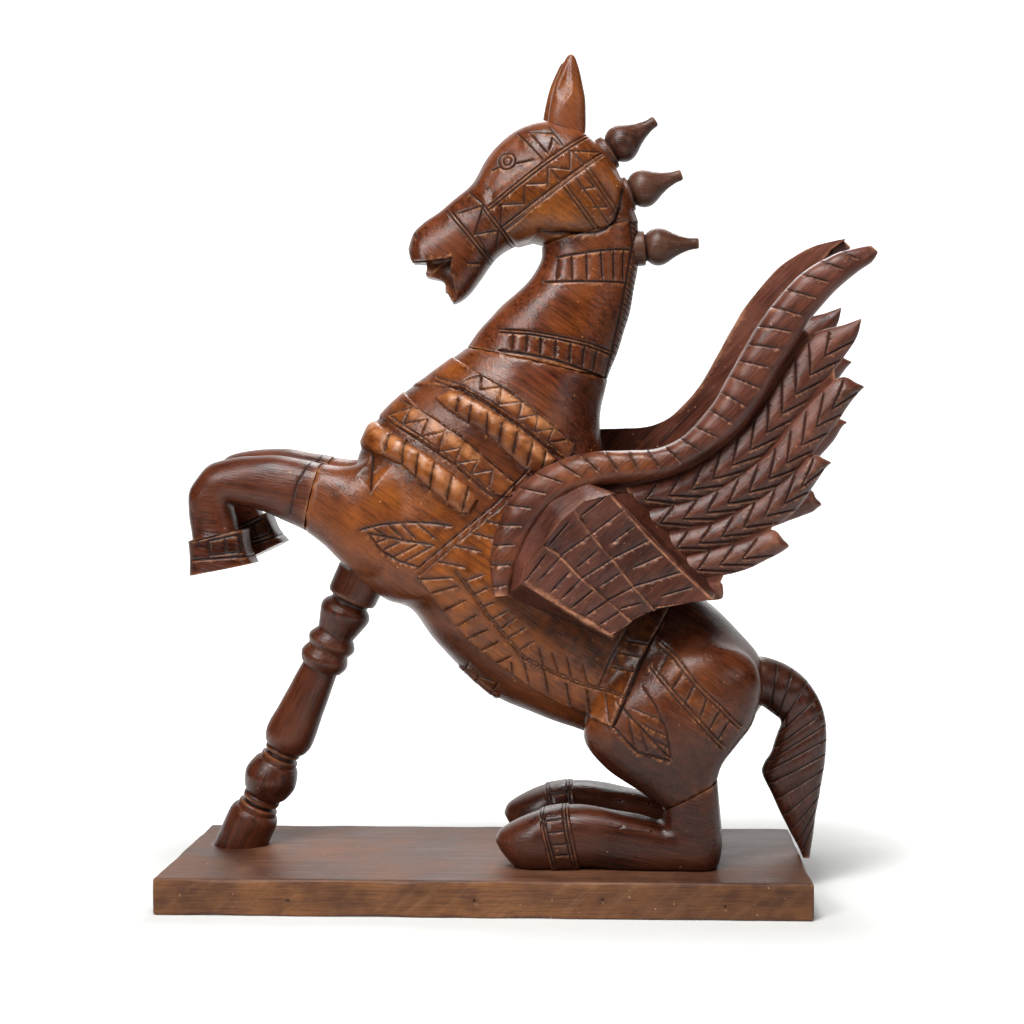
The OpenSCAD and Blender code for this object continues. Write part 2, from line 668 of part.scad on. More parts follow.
module wing_dowels() {
    color(birch) in_figure() for (side = [left, right])
        at_wing(side) for (place = wing_dowel_places) at_wing_dowel(place) dowel();
}

module tail() {
    color(dark_stain) in_figure() {
        loft(tail_stations, 2, 14);
        at_joint(tail_joint) translate([0, 0, -tenon_l]) cylinder(d = tenon_d, h = tenon_l + tenon_root);
    }
}

base_plank();
support_post();
torso();
neck();
head();
ear_left();
ear_right();
mane_finial_upper();
mane_finial_middle();
mane_finial_lower();
foreleg_left();
foreleg_right();
hind_leg_left();
hind_leg_right();
wing_left();
wing_right();
tail();
head_dowel();
neck_dowels();
foreleg_dowels();
hind_leg_dowels();
wing_dowels();
base_screws();
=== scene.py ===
"""The carved winged horse's looks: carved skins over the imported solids, stained wood, studio and camera."""
import math

import bpy
import numpy as np
from mathutils import Matrix, Vector
from mathutils.geometry import tessellate_polygon


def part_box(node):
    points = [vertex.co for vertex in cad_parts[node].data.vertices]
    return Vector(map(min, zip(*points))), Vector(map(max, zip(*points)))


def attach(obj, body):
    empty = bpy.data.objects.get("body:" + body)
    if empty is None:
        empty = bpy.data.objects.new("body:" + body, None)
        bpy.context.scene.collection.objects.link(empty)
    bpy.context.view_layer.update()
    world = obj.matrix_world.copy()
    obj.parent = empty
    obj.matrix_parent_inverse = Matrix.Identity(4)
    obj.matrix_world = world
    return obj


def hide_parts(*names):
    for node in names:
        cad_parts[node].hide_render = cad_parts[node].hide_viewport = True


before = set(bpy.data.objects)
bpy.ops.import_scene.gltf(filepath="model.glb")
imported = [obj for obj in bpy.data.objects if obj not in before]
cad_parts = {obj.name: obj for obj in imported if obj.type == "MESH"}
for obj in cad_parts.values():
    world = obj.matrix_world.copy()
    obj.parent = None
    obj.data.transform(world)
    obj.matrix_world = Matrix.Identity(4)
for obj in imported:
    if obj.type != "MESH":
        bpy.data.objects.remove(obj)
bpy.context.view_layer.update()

MM = 0.001
plank_low, plank_high = (np.array(corner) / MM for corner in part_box("base_plank"))
plank_t = plank_high[2]

# The figure's frame: millimetres, x along the plank, y from the figure's middle plane, z from the plank's top
figure_back = 8.0
figure_place = np.array([0.0, figure_back, plank_t])

# Stance and sizes, as in the solids
hind_spread = 48.0
fore_spread = 25.0
right_fold = 14.0
right_foreleg_raise = 5.0
ear_spread = 12.0
right_ear_forward = 5.0
ear_x = 60.5
ear_seat_z = 529.0
ear_h = 54.0
ear_w = 27.0
ear_t = 16.0
wing_seat = 42.0
wing_plate_t = 14.0
plate_lap = 2.0
rib_t = 29.0
feather_t = 15.0
panel_t = 36.0
right_wing_shift = np.array([-4.0, 0.0, 17.0])
post_l = 228.0
finial_l = 48.0
finial_sink = 3.0

# Mesh fineness: edge lengths on plain skin, along carved lines and along those of the torso and the wings
plain_edge = 3.4
carved_edge = 0.75
torso_carved_edge = 0.98
wing_carved_edge = 0.97
# Edge lengths of turned pieces, of the finials, of ears and hooves, of feathers and of the wing's plate
turned_edge = 1.6
finial_edge = 1.2
small_edge = 2.2
feather_edge = 3.0
plate_edge = 6.0
# Past a zone along a cut an edge may be longer: the zone, the growth for each mm, and how far it is followed
cut_zone = 1.4
edge_growth = 2.5
zone_reach = 8.0
# How many times longer than wanted an edge is when it is split
split_from = 1.35
# Sides of the slimmest loft
fewest_sides = 16
# Edges that turn by more degrees than this are drawn sharp
sharp_turn = 52

# Camera, fitted to six corners of the plank and the tip of the left ear; angles in radians, far end in metres
picture_px = 1024
camera_place = np.array([95.75, -1275.95, 318.27])
camera_yaw = -0.0604
camera_pitch = -0.0319
camera_roll = -0.0059
focal_px = 1741.64
sensor_mm = 36.0
camera_far = 50.0


def camera_axes():
    """Right, up and forward of the camera: yaw about Z, then pitch, then roll about the line of sight."""
    forward = np.array([math.sin(camera_yaw) * math.cos(camera_pitch),
                        math.cos(camera_yaw) * math.cos(camera_pitch),
                        math.sin(camera_pitch)])
    level = np.array([math.cos(camera_yaw), -math.sin(camera_yaw), 0.0])
    raised = np.cross(level, forward)
    right = math.cos(camera_roll) * level + math.sin(camera_roll) * raised
    up = math.cos(camera_roll) * raised - math.sin(camera_roll) * level
    return right, up, forward


def drawn(line, y):
    """Side-plane points (x, z) of a line in picture pixels (x, y, x, y, ...), y mm off the middle plane."""
    right, up, forward = camera_axes()
    pixels = np.reshape(line, (-1, 2)) - picture_px / 2
    rays = forward + pixels[:, :1] / focal_px * right - pixels[:, 1:] / focal_px * up
    reach = (y + figure_back - camera_place[1]) / rays[:, 1]
    hits = camera_place + reach[:, None] * rays - figure_place
    return hits[:, [0, 2]]


def drawn_all(lines, y):
    """Several such lines on one plane."""
    return [drawn(line, y) for line in lines]


def drawn_spots(spots, y):
    """Side-plane centre, reach and amount of spots listed as x and y in picture pixels, reach and amount."""
    return [(drawn(spot[:2], y)[0], *spot[2:]) for spot in spots]


# Stations of the carved pieces: x and z of one edge, x and z of the other, half width, squareness
neck_joint = [-14, 373, 89, 349, 34, 2.3]
head_joint = [41, 445, 112, 463, 27, 2.3]
tail_joint = [204, 144, 201, 108, 17, 2]
hock_joint = [127, 42, 166, 62, 20, 2.4]
fore_joint = [-119, 288, -131, 239, 21, 2.4]
torso_stations = [
    neck_joint, [-37, 356, 83, 319, 39, 2.4], [-61, 339, 86, 298, 43, 2.5], [-79, 322, 91, 282, 46, 2.5],
    [-93, 298, 97, 269, 48, 2.6], [-102, 261, 103, 258, 50, 2.7], [-104, 216, 109, 247, 51, 2.8],
    [-78, 189, 115, 238, 52, 2.7], [-56, 180, 120, 230, 52, 2.6], [-36, 153, 127, 221, 52, 2.5],
    [1, 119, 134, 211, 52, 2.5], [31, 104, 142, 201, 52, 2.4], [65, 92, 150, 191, 52, 2.4],
    [97, 79, 163, 184, 50, 2.4], [127, 75, 181, 168, 46, 2.3], [160, 79, 196, 153, 38, 2.2],
    [186, 92, 203, 147, 26, 2.1], [201, 108, 204, 144, 17, 2]]
shoulder_stations = [
    [-60, 296, -50, 200, 20, 2.4], [-80, 292, -78, 203, 24, 2.4], [-98, 286, -101, 213, 23, 2.4],
    [-109, 286, -117, 228, 22, 2.4], fore_joint]
thigh_stations = [
    [118, 150, 182, 160, 14, 2.2], [88, 124, 199, 146, 24, 2.3], [71, 95, 194, 110, 27, 2.4],
    [86, 71, 181, 89, 25, 2.4], [111, 54, 169, 73, 22, 2.4], hock_joint]
neck_stations = [
    neck_joint, [-2, 389, 100, 379, 32, 2.3], [14, 405, 107, 404, 30, 2.3], [29, 418, 111, 427, 28, 2.3],
    [40, 434, 112, 445, 27, 2.3], head_joint]
head_stations = [
    [93, 509, 112, 463, 14, 2], [83, 520, 109, 450, 24, 2.2], [70, 531, 91, 446, 30, 2.3],
    [55, 536, 69, 444, 33, 2.3], [40, 537, 49, 445, 34, 2.3], [26, 532, 31, 449, 33, 2.3],
    [11, 521, 18, 445, 31, 2.3], [0, 508, 9, 439, 28, 2.3], [-10, 492, 3, 432, 25, 2.3],
    [-23, 481, -4, 422, 23, 2.4], [-34, 472, -13, 411, 22, 2.5], [-45, 465, -22, 405, 21, 2.6],
    [-53, 457, -36, 402, 20, 2.5], [-57, 446, -44, 404, 15, 2.2]]
foreleg_stations = [
    fore_joint, [-135, 291, -147, 247, 20.5, 2.4], [-153, 294, -161, 253, 20, 2.4],
    [-179, 293, -174, 256, 19.5, 2.4], [-198, 289, -181, 258, 19, 2.4], [-209, 280, -183, 259, 18.5, 2.4],
    [-216, 268, -185, 256, 18, 2.4], [-217, 254, -183, 248, 17, 2.5], [-215, 240, -181, 240, 17, 2.6],
    [-214, 232, -178, 236, 18, 2.8]]
hoof_stations = [[-216, 232, -175, 241, 21, 4], [-215, 220, -173, 227, 21, 4], [-215, 207, -168, 216, 22, 4]]
# Forelegs fold at the knee: its pivot, and the first station that turns with it
knee_pivot = np.array([-195.0, 275.0])
knee_station = 5
hind_leg_stations = [
    hock_joint, [127, 36, 168, 38, 20, 2.5], [126, 33, 169, 14, 20, 2.7], [123, 32, 162, -3, 20, 2.9],
    [116, 34, 138, -4, 20, 3], [104, 37, 104, -3, 19.5, 3], [83, 41, 82, -1, 19.5, 2.9],
    [65, 43, 62, -1, 20, 2.8], [43, 40, 47, -3, 21, 2.7], [33, 37, 33, -4, 21, 2.6], [20, 31, 22, 0, 17, 2.4],
    [11, 25, 13, 9, 10, 2.2], [8, 19, 9, 16, 4, 2]]
tail_stations = [
    tail_joint, [218, 139, 207, 104, 16.5, 2.2], [231, 130, 212, 100, 15, 2.6], [241, 117, 214, 96, 14, 2.8],
    [247, 101, 212, 88, 13.5, 3], [248, 84, 208, 75, 13, 3], [247, 67, 201, 62, 12.5, 3],
    [244, 48, 206, 48, 11.5, 3], [241, 30, 216, 27, 10, 2.8], [238, 10, 226, 7, 7, 2.6],
    [236, -4, 231, -4, 3, 2.4]]
# Ear: stations as shares of its width, height and thickness
ear_outline = [
    [-0.46, -0.16, 0.45, -0.2, 0.4, 2.3], [-0.5, 0, 0.5, 0, 0.42, 2.3], [-0.5, 0.2, 0.5, 0.22, 0.5, 2.2],
    [-0.42, 0.42, 0.47, 0.45, 0.48, 2.1], [-0.26, 0.7, 0.36, 0.75, 0.36, 2],
    [-0.06, 0.93, 0.24, 0.95, 0.18, 2], [0.06, 1, 0.16, 1, 0.06, 2]]
# Rib and feathers of a wing: x and z of one edge and of the other, from the root to the tip
rib_stations = [
    [8, 194, 21, 195], [6, 213, 25, 211], [7, 230, 29, 228], [13, 248, 35, 244], [22, 265, 45, 258],
    [36, 279, 59, 269], [55, 289, 73, 274], [77, 295, 89, 277], [101, 296, 106, 277], [122, 297, 131, 279],
    [138, 303, 153, 289], [151, 314, 170, 301], [164, 330, 184, 313], [174, 347, 198, 332],
    [184, 365, 212, 356], [195, 384, 224, 375], [207, 400, 232, 388], [224, 418, 246, 407],
    [246, 431, 260, 421], [264, 436, 271, 428], [272, 437, 277, 432]]
rib_taper = [1, 1, 1, 1, 1, 1, 1, 1, 1, 1, 1, 1, 1, 1, 0.98, 0.95, 0.9, 0.8, 0.62, 0.4, 0.25]
feather_stations = [
    [[101, 271, 112, 253], [146, 284, 157, 261], [184, 313, 198, 290], [212, 351, 229, 327],
     [230, 375, 248, 352], [255, 383, 262, 372], [266, 387, 266, 385]],
    [[112, 254, 122, 236], [157, 266, 165, 245], [198, 292, 210, 269], [229, 329, 240, 302],
     [251, 346, 255, 323], [263, 342, 264, 335], [267, 340, 268, 339]],
    [[122, 237, 134, 218], [165, 247, 175, 229], [205, 271, 214, 247], [230, 291, 232, 269],
     [241, 289, 241, 282], [245, 287, 245, 286]],
    [[136, 221, 149, 203], [177, 231, 184, 211], [203, 240, 205, 221], [212, 233, 212, 225],
     [215, 230, 216, 228]],
    [[146, 207, 156, 190], [167, 204, 168, 191], [170, 197, 170, 194]]]
# How much farther each feather of the right wing reaches, along x and z
right_feather_extra = [[4, 0], [10, 6], [29, 13], [39, 9], [30, 6]]
# Outlines of the wing's plate and of its shoulder panel: x and z
plate_feather_edge = [
    [262, 430], [240, 404], [226, 380], [246, 360], [248, 340], [233, 312], [229, 284], [208, 252],
    [200, 232], [172, 212], [164, 194]]
plate_lower_edge = [[121, 185], [92, 167], [60, 180], [30, 194]]
panel_top = [
    [29, 204], [33, 217], [46, 232], [57, 248], [73, 261], [92, 266], [161, 193], [146, 190], [121, 185],
    [106, 178], [92, 167]]
panel_foot = [
    [17, 194], [22, 220], [36, 240], [50, 258], [72, 270], [112, 266], [167, 196], [150, 190], [122, 184],
    [107, 176], [92, 161]]
# Finials: x and z of the seat, and lean in degrees
finial_seats = [[87, 512, 33], [101, 482.5, 19], [111, 444, 4]]
post_foot = np.array([-190.0, 14.0, 0.0])
post_aim = np.array([-96.0, 3.0, 201.0])
# What is cut out of the muzzle, as x and z: right through it at the lips, and at both sides of the tongue
lip_cut = [
    [-80, 435], [-43, 434.5], [-42.5, 425], [-30, 421], [-27.5, 411.5], [-24, 406.5], [-23, 390], [-80, 390]]
mouth_side = [
    [-80, 436], [-37, 435.5], [-23, 437], [-25, 425], [-22.5, 422.5], [-20.5, 410], [-21, 390], [-80, 390]]
tongue_t = 18.0


# Curves and skins
def along(rows, steps):
    """Catmull-Rom curve through the rows, read at steps counted in rows."""
    rows = np.asarray(rows, float)
    last = len(rows) - 1
    steps = np.clip(np.asarray(steps, float), 0, last)
    i = np.minimum(steps.astype(int), last - 1)
    t = (steps - i)[:, None]
    a, b, c, d = rows[np.maximum(i - 1, 0)], rows[i], rows[i + 1], rows[np.minimum(i + 2, last)]
    square, cube = (2 * a - 5 * b + 4 * c - d) * t ** 2, (3 * b - a - 3 * c + d) * t ** 3
    return 0.5 * (2 * b + (c - a) * t + square + cube)


def even_steps(rows, edge):
    """Steps along the rows whose points lie about one edge length apart, with each row kept."""
    rows = np.asarray(rows, float)
    gaps = np.abs(np.diff(rows, axis=0))[:, :4].reshape(len(rows) - 1, -1, 2)
    counts = np.maximum(1, np.ceil(np.linalg.norm(gaps, axis=2).max(axis=1) / edge)).astype(int)
    return np.concatenate([i + np.arange(n) / n for i, n in enumerate(counts)] + [[len(rows) - 1]])


def power(v, e):
    """Signed power, which squares up a circle's sine and cosine into a superellipse."""
    return np.sign(v) * np.abs(v) ** e


def outward(points, faces):
    """The mesh with its faces turned outwards: the sum of its signed tetrahedra is positive."""
    a, b, c = points[faces[:, 0]], points[faces[:, 1]], points[faces[:, 2]]
    volume = np.einsum("ij,ij->i", a, np.cross(b, c)).sum()
    return (points, faces) if volume > 0 else (points, faces[:, ::-1])


def closed_rings(rings):
    """Closed skin through rings of points (row, side, xyz): split quads between rows, a fan on each end."""
    rows, sides = rings.shape[:2]
    k, j = np.meshgrid(np.arange(rows - 1), np.arange(sides), indexing="ij")
    a, b = (k * sides + j).ravel(), (k * sides + (j + 1) % sides).ravel()
    walls = np.concatenate([np.stack([a, b, a + sides], 1), np.stack([b, b + sides, a + sides], 1)])
    points = np.concatenate([rings.reshape(-1, 3), rings[[0, -1]].mean(axis=1)])
    side = np.arange(sides)
    following = (side + 1) % sides
    first, final = len(points) - 2, len(points) - 1
    base = (rows - 1) * sides
    start_cap = np.stack([np.full(sides, first), following, side], 1)
    end_cap = np.stack([np.full(sides, final), base + side, base + following], 1)
    return outward(points, np.concatenate([walls, start_cap, end_cap]))


def loft(stations, edge=plain_edge):
    """Skin of superellipse rings, from one edge of each station to the other and half width to each side."""
    rows = along(stations, even_steps(stations, edge))
    breadth = np.hypot(rows[:, 0] - rows[:, 2], rows[:, 1] - rows[:, 3])
    sides = int(max(fewest_sides, math.pi * (breadth.max() / 2 + rows[:, 4].max()) / edge))
    angle = 2 * math.pi * np.arange(sides) / sides
    squareness = 2 / rows[:, 5:6]
    up = power(np.cos(angle)[None, :], squareness)
    out = power(np.sin(angle)[None, :], squareness)
    x = (rows[:, 0:1] + rows[:, 2:3]) / 2 + (rows[:, 0:1] - rows[:, 2:3]) / 2 * up
    z = (rows[:, 1:2] + rows[:, 3:4]) / 2 + (rows[:, 1:2] - rows[:, 3:4]) / 2 * up
    return closed_rings(np.stack([x, rows[:, 4:5] * out, z], axis=2))


def turned(profile, edge=turned_edge):
    """Skin of a turned piece about Z: the profile's distances along the axis and radii, smoothed and spun."""
    rows = along(profile, even_steps(profile, edge))
    sides = int(2 * math.pi * rows[:, 1].max() / edge)
    angle = 2 * math.pi * np.arange(sides) / sides
    x = rows[:, 1:2] * np.cos(angle)
    y = rows[:, 1:2] * np.sin(angle)
    return closed_rings(np.stack([x, y, np.broadcast_to(rows[:, 0:1], x.shape)], axis=2))


def prism(foot, top, foot_y, top_y):
    """Solid between two side outlines with as many corners, each on its own plane y, with flat ends."""
    n = len(foot)
    rings = [np.insert(np.asarray(foot, float), 1, foot_y, axis=1),
             np.insert(np.asarray(top, float), 1, top_y, axis=1)]
    j = np.arange(n)
    k = (j + 1) % n
    walls = np.concatenate([np.stack([j, k, j + n], 1), np.stack([k, k + n, j + n], 1)])
    ends = [np.array(tessellate_polygon([[Vector(p) for p in ring]])) for ring in rings]
    anticlockwise = signed_area(np.asarray(foot, float)) > 0
    caps = [turned_to(ends[0], rings[0], 1 if top_y < foot_y else -1),
            turned_to(ends[1], rings[1], -1 if top_y < foot_y else 1) + n]
    if anticlockwise != (top_y < foot_y):
        walls = walls[:, ::-1]
    points = np.concatenate(rings)
    faces = np.concatenate([walls] + caps)
    return outward(points, faces)


def signed_area(outline):
    """Shoelace area of a side outline, positive where it runs anticlockwise with x right and z up."""
    x, z = outline[:, 0], outline[:, 1]
    return 0.5 * np.sum(x * np.roll(z, -1) - z * np.roll(x, -1))


def turned_to(faces, points, way):
    """Flat faces turned so that their normals point along +y or -y."""
    a, b, c = points[faces[:, 0]], points[faces[:, 1]], points[faces[:, 2]]
    facing = np.cross(b - a, c - a)[:, 1] * way
    return np.where(facing[:, None] > 0, faces, faces[:, ::-1])


def joined(meshes):
    """Several skins as one mesh."""
    starts = np.cumsum([0] + [len(points) for points, _ in meshes[:-1]])
    return (np.concatenate([points for points, _ in meshes]),
            np.concatenate([faces + start for (_, faces), start in zip(meshes, starts)]))


def moved(mesh, shift):
    """The mesh shifted by a vector."""
    return mesh[0] + np.asarray(shift, float), mesh[1]


def across_middle(mesh):
    """The mesh mirrored in the plane y = 0, with its faces turned back outwards."""
    return mesh[0] * [1, -1, 1], mesh[1][:, ::-1]


def blender_mesh(name, points, faces):
    """Blender mesh of triangles from whole arrays in metres."""
    data = bpy.data.meshes.new(name)
    data.vertices.add(len(points))
    data.vertices.foreach_set("co", np.asarray(points, np.float32).ravel())
    data.loops.add(3 * len(faces))
    data.loops.foreach_set("vertex_index", np.asarray(faces, np.int32).ravel())
    data.polygons.add(len(faces))
    data.polygons.foreach_set("loop_start", np.arange(0, 3 * len(faces), 3, dtype=np.int32))
    data.update(calc_edges=True)
    data.validate()
    return data


def add_object(name, data):
    """A new object in the scene that holds the data."""
    made = bpy.data.objects.new(name, data)
    bpy.context.scene.collection.objects.link(made)
    return made


def worked(mesh, add_modifiers):
    """The mesh after modifiers that add_modifiers puts on a passing object, read back as triangles."""
    passing = add_object("passing", blender_mesh("passing", mesh[0] * MM, mesh[1]))
    helpers = add_modifiers(passing) or []
    result = passing.evaluated_get(bpy.context.evaluated_depsgraph_get()).to_mesh()
    result.calc_loop_triangles()
    points = np.empty(3 * len(result.vertices))
    result.vertices.foreach_get("co", points)
    faces = np.empty(3 * len(result.loop_triangles), np.int32)
    result.loop_triangles.foreach_get("vertices", faces)
    for gone in [passing] + helpers:
        bpy.data.objects.remove(gone)
    return points.reshape(-1, 3) / MM, faces.reshape(-1, 3)


def merged(meshes, voxel):
    """One skin around overlapping skins, remeshed on a grid of voxel millimetres."""
    def remesh(passing):
        change = passing.modifiers.new("merge", "REMESH")
        change.mode = "VOXEL"
        change.voxel_size = voxel * MM
    return worked(joined(meshes), remesh)


def cut_by(mesh, cutters):
    """The mesh with other skins cut out of it."""
    def subtract(passing):
        helpers = []
        for points, faces in cutters:
            tool = add_object("cutter", blender_mesh("cutter", points * MM, faces))
            change = passing.modifiers.new("cut", "BOOLEAN")
            change.operation = "DIFFERENCE"
            change.solver = "EXACT"
            change.object = tool
            helpers.append(tool)
        return helpers
    return worked(mesh, subtract)


def edges_of(faces):
    """Each edge once, as vertex pairs, and for each face the numbers of its three edges."""
    pairs = np.sort(faces[:, [[0, 1], [1, 2], [2, 0]]].reshape(-1, 2), axis=1).astype(np.int64)
    keys, numbers = np.unique(pairs[:, 0] << 32 | pairs[:, 1], return_inverse=True)
    return np.stack([keys >> 32, keys & 0xFFFFFFFF], 1), numbers.reshape(-1, 3)


def normals_of(points, faces):
    """Vertex normals: the area-weighted mean of the normals of the faces around each vertex."""
    a, b, c = points[faces[:, 0]], points[faces[:, 1]], points[faces[:, 2]]
    facing = np.cross(b - a, c - a)
    sums = [np.bincount(faces.ravel(), np.repeat(facing[:, i], 3), len(points)) for i in range(3)]
    total = np.stack(sums, 1)
    return total / np.maximum(np.linalg.norm(total, axis=1, keepdims=True), 1e-12)


def around(values, edges, count):
    """Mean of each vertex's neighbours, along the edges."""
    ends = np.concatenate([edges[:, 0], edges[:, 1]])
    others = np.concatenate([edges[:, 1], edges[:, 0]])
    number = np.maximum(np.bincount(ends, minlength=count), 1)
    if values.ndim == 1:
        return np.bincount(ends, values[others], count) / number
    sums = [np.bincount(ends, values[others, i], count) for i in range(values.shape[1])]
    return np.stack(sums, 1) / number[:, None]


# Shares of the way to its neighbours' mean that a vertex moves: in turns, which keep the size, and one way
smooth_pulls = (0.5, -0.52)
ease_pull = 0.6


def smoothed(mesh, passes):
    """The mesh eased by turns of shrinking and swelling towards the mean of its neighbours."""
    points, faces = mesh
    edges = edges_of(faces)[0]
    for _ in range(passes):
        for pull in smooth_pulls:
            points = points + pull * (around(points, edges, len(points)) - points)
    return points, faces


def eased_at(mesh, middle, reach, passes):
    """The mesh eased towards its neighbours' mean around one side-plane place, fading out with reach."""
    points, faces = mesh
    edges = edges_of(faces)[0]
    share = np.exp(-(((points[:, [0, 2]] - middle) / reach) ** 2).sum(1))[:, None]
    for _ in range(passes):
        points = points + ease_pull * share * (around(points, edges, len(points)) - points)
    return points, faces


def split_faces(faces, middles):
    """Triangles cut at the middles of their marked edges: a middle is -1 where its edge stays whole."""
    marked = middles >= 0
    count = marked.sum(axis=1)
    pieces = [faces[count == 0]]
    for kind in (1, 2):
        for first in range(3):
            order = [first, (first + 1) % 3, (first + 2) % 3]
            pattern = [True, False, False] if kind == 1 else [True, True, False]
            chosen = (marked[:, order] == pattern).all(axis=1)
            a, b, c = faces[chosen][:, order].T
            ab, bc, _ = middles[chosen][:, order].T
            if kind == 1:
                pieces += [np.stack([a, ab, c], 1), np.stack([ab, b, c], 1)]
            else:
                pieces += [np.stack([ab, b, bc], 1), np.stack([a, ab, bc], 1), np.stack([a, bc, c], 1)]
    a, b, c = faces[count == 3].T
    ab, bc, ca = middles[count == 3].T
    pieces += [np.stack([a, ab, ca], 1), np.stack([ab, b, bc], 1), np.stack([bc, c, ca], 1),
               np.stack([ab, bc, ca], 1)]
    return np.concatenate(pieces)


def refined(mesh, wanted, rounded=True, passes=5):
    """Splits edges longer than the length wanted at their middle; a rounded skin's middles bow out."""
    points, faces = mesh
    for _ in range(passes):
        edges, numbers = edges_of(faces)
        start, end = points[edges[:, 0]], points[edges[:, 1]]
        way = end - start
        middle = (start + end) / 2
        if rounded:
            normals = normals_of(points, faces)
            n0, n1 = normals[edges[:, 0]], normals[edges[:, 1]]
            bow = (way * n1).sum(1, keepdims=True) * n1 - (way * n0).sum(1, keepdims=True) * n0
            middle = middle + bow / 8
        long = np.linalg.norm(way, axis=1) > split_from * wanted(middle)
        if not long.any():
            break
        middle_number = np.where(long, len(points) + np.cumsum(long) - 1, -1)
        points = np.concatenate([points, middle[long]])
        faces = split_faces(faces, middle_number[numbers])
    return points, faces


def divided(mesh, edge):
    """A flat-sided skin with its edges split until none is much longer than one length."""
    return refined(mesh, lambda points: np.full(len(points), edge), rounded=False, passes=8)


# Carving: cuts along lines and fields raised or sunk inside outlines, on the side plane
def line_place(flat, line):
    """Distance from each flat point to a line of straight stretches, and along it to its nearer end."""
    way = np.diff(line, axis=0)
    lengths = np.linalg.norm(way, axis=1)
    offset = flat[:, None, :] - line[None, :-1]
    share = np.clip((offset * way[None]).sum(2) / np.maximum(lengths ** 2, 1e-9), 0, 1)
    square = ((offset - share[..., None] * way[None]) ** 2).sum(2)
    nearest = square.argmin(axis=1)
    rows = np.arange(len(flat))
    run = np.concatenate([[0], np.cumsum(lengths)])
    place = run[nearest] + share[rows, nearest] * lengths[nearest]
    return np.sqrt(square[rows, nearest]), np.minimum(place, run[-1] - place)


def line_distance(flat, line):
    """Distance from each flat point to a line of straight stretches."""
    return line_place(flat, line)[0]


def inside(flat, outline):
    """True where a flat point lies inside an outline: a ray from it crosses it an odd number of times."""
    x0, z0 = outline[:, 0], outline[:, 1]
    x1, z1 = np.roll(x0, -1), np.roll(z0, -1)
    px, pz = flat[:, :1], flat[:, 1:]
    spans = (z0 > pz) != (z1 > pz)
    rise = np.where(np.abs(z1 - z0) < 1e-9, 1e-9, z1 - z0)
    hits = px < (x1 - x0) * (pz - z0) / rise + x0
    return (spans & hits).sum(axis=1) % 2 == 1


def beside(line, shift):
    """The line moved sideways by a distance, to its left where that is positive."""
    way = np.gradient(line, axis=0)
    way /= np.linalg.norm(way, axis=1, keepdims=True)
    return line + shift * np.stack([-way[:, 1], way[:, 0]], 1)


def ring_line(centre, radius, points):
    """A circle on the side plane as a closed line."""
    angle = np.linspace(0, 2 * math.pi, points)
    return np.asarray(centre) + radius * np.stack([np.cos(angle), np.sin(angle)], 1)


# A cut's burr stands on its lower lip, which is painted pale as a highlight where light from above catches it:
# distance below the cut and reach, in half widths, and height
lip_drop = 1.5
lip_reach = 0.6
lip_height = 0.2
# How many half widths from its line a cut is dark
dark_width = 1.15
# A knife stroke runs out at both ends: its share of the width there, and the length over which it fills out,
# which is at most a share of the whole stroke
stroke_end = 0.35
stroke_run = 5.0
stroke_share = 0.25
# How far from a cut its stain spreads, the skin is rounded down to it, and it is looked for at all
stain_reach = 2.8
pillow_reach = 3.4
cut_reach = 7.0
# Paleness at the middle of a worn edge or a painted highlight, before it is held to one
worn_strength = 1.4
# Lengths over which a shingle's fall sets in from its start and from its other edges
shingle_start = 10.0
shingle_edge = 0.8
# How softly gold starts inside a field
gold_fade = 5.0


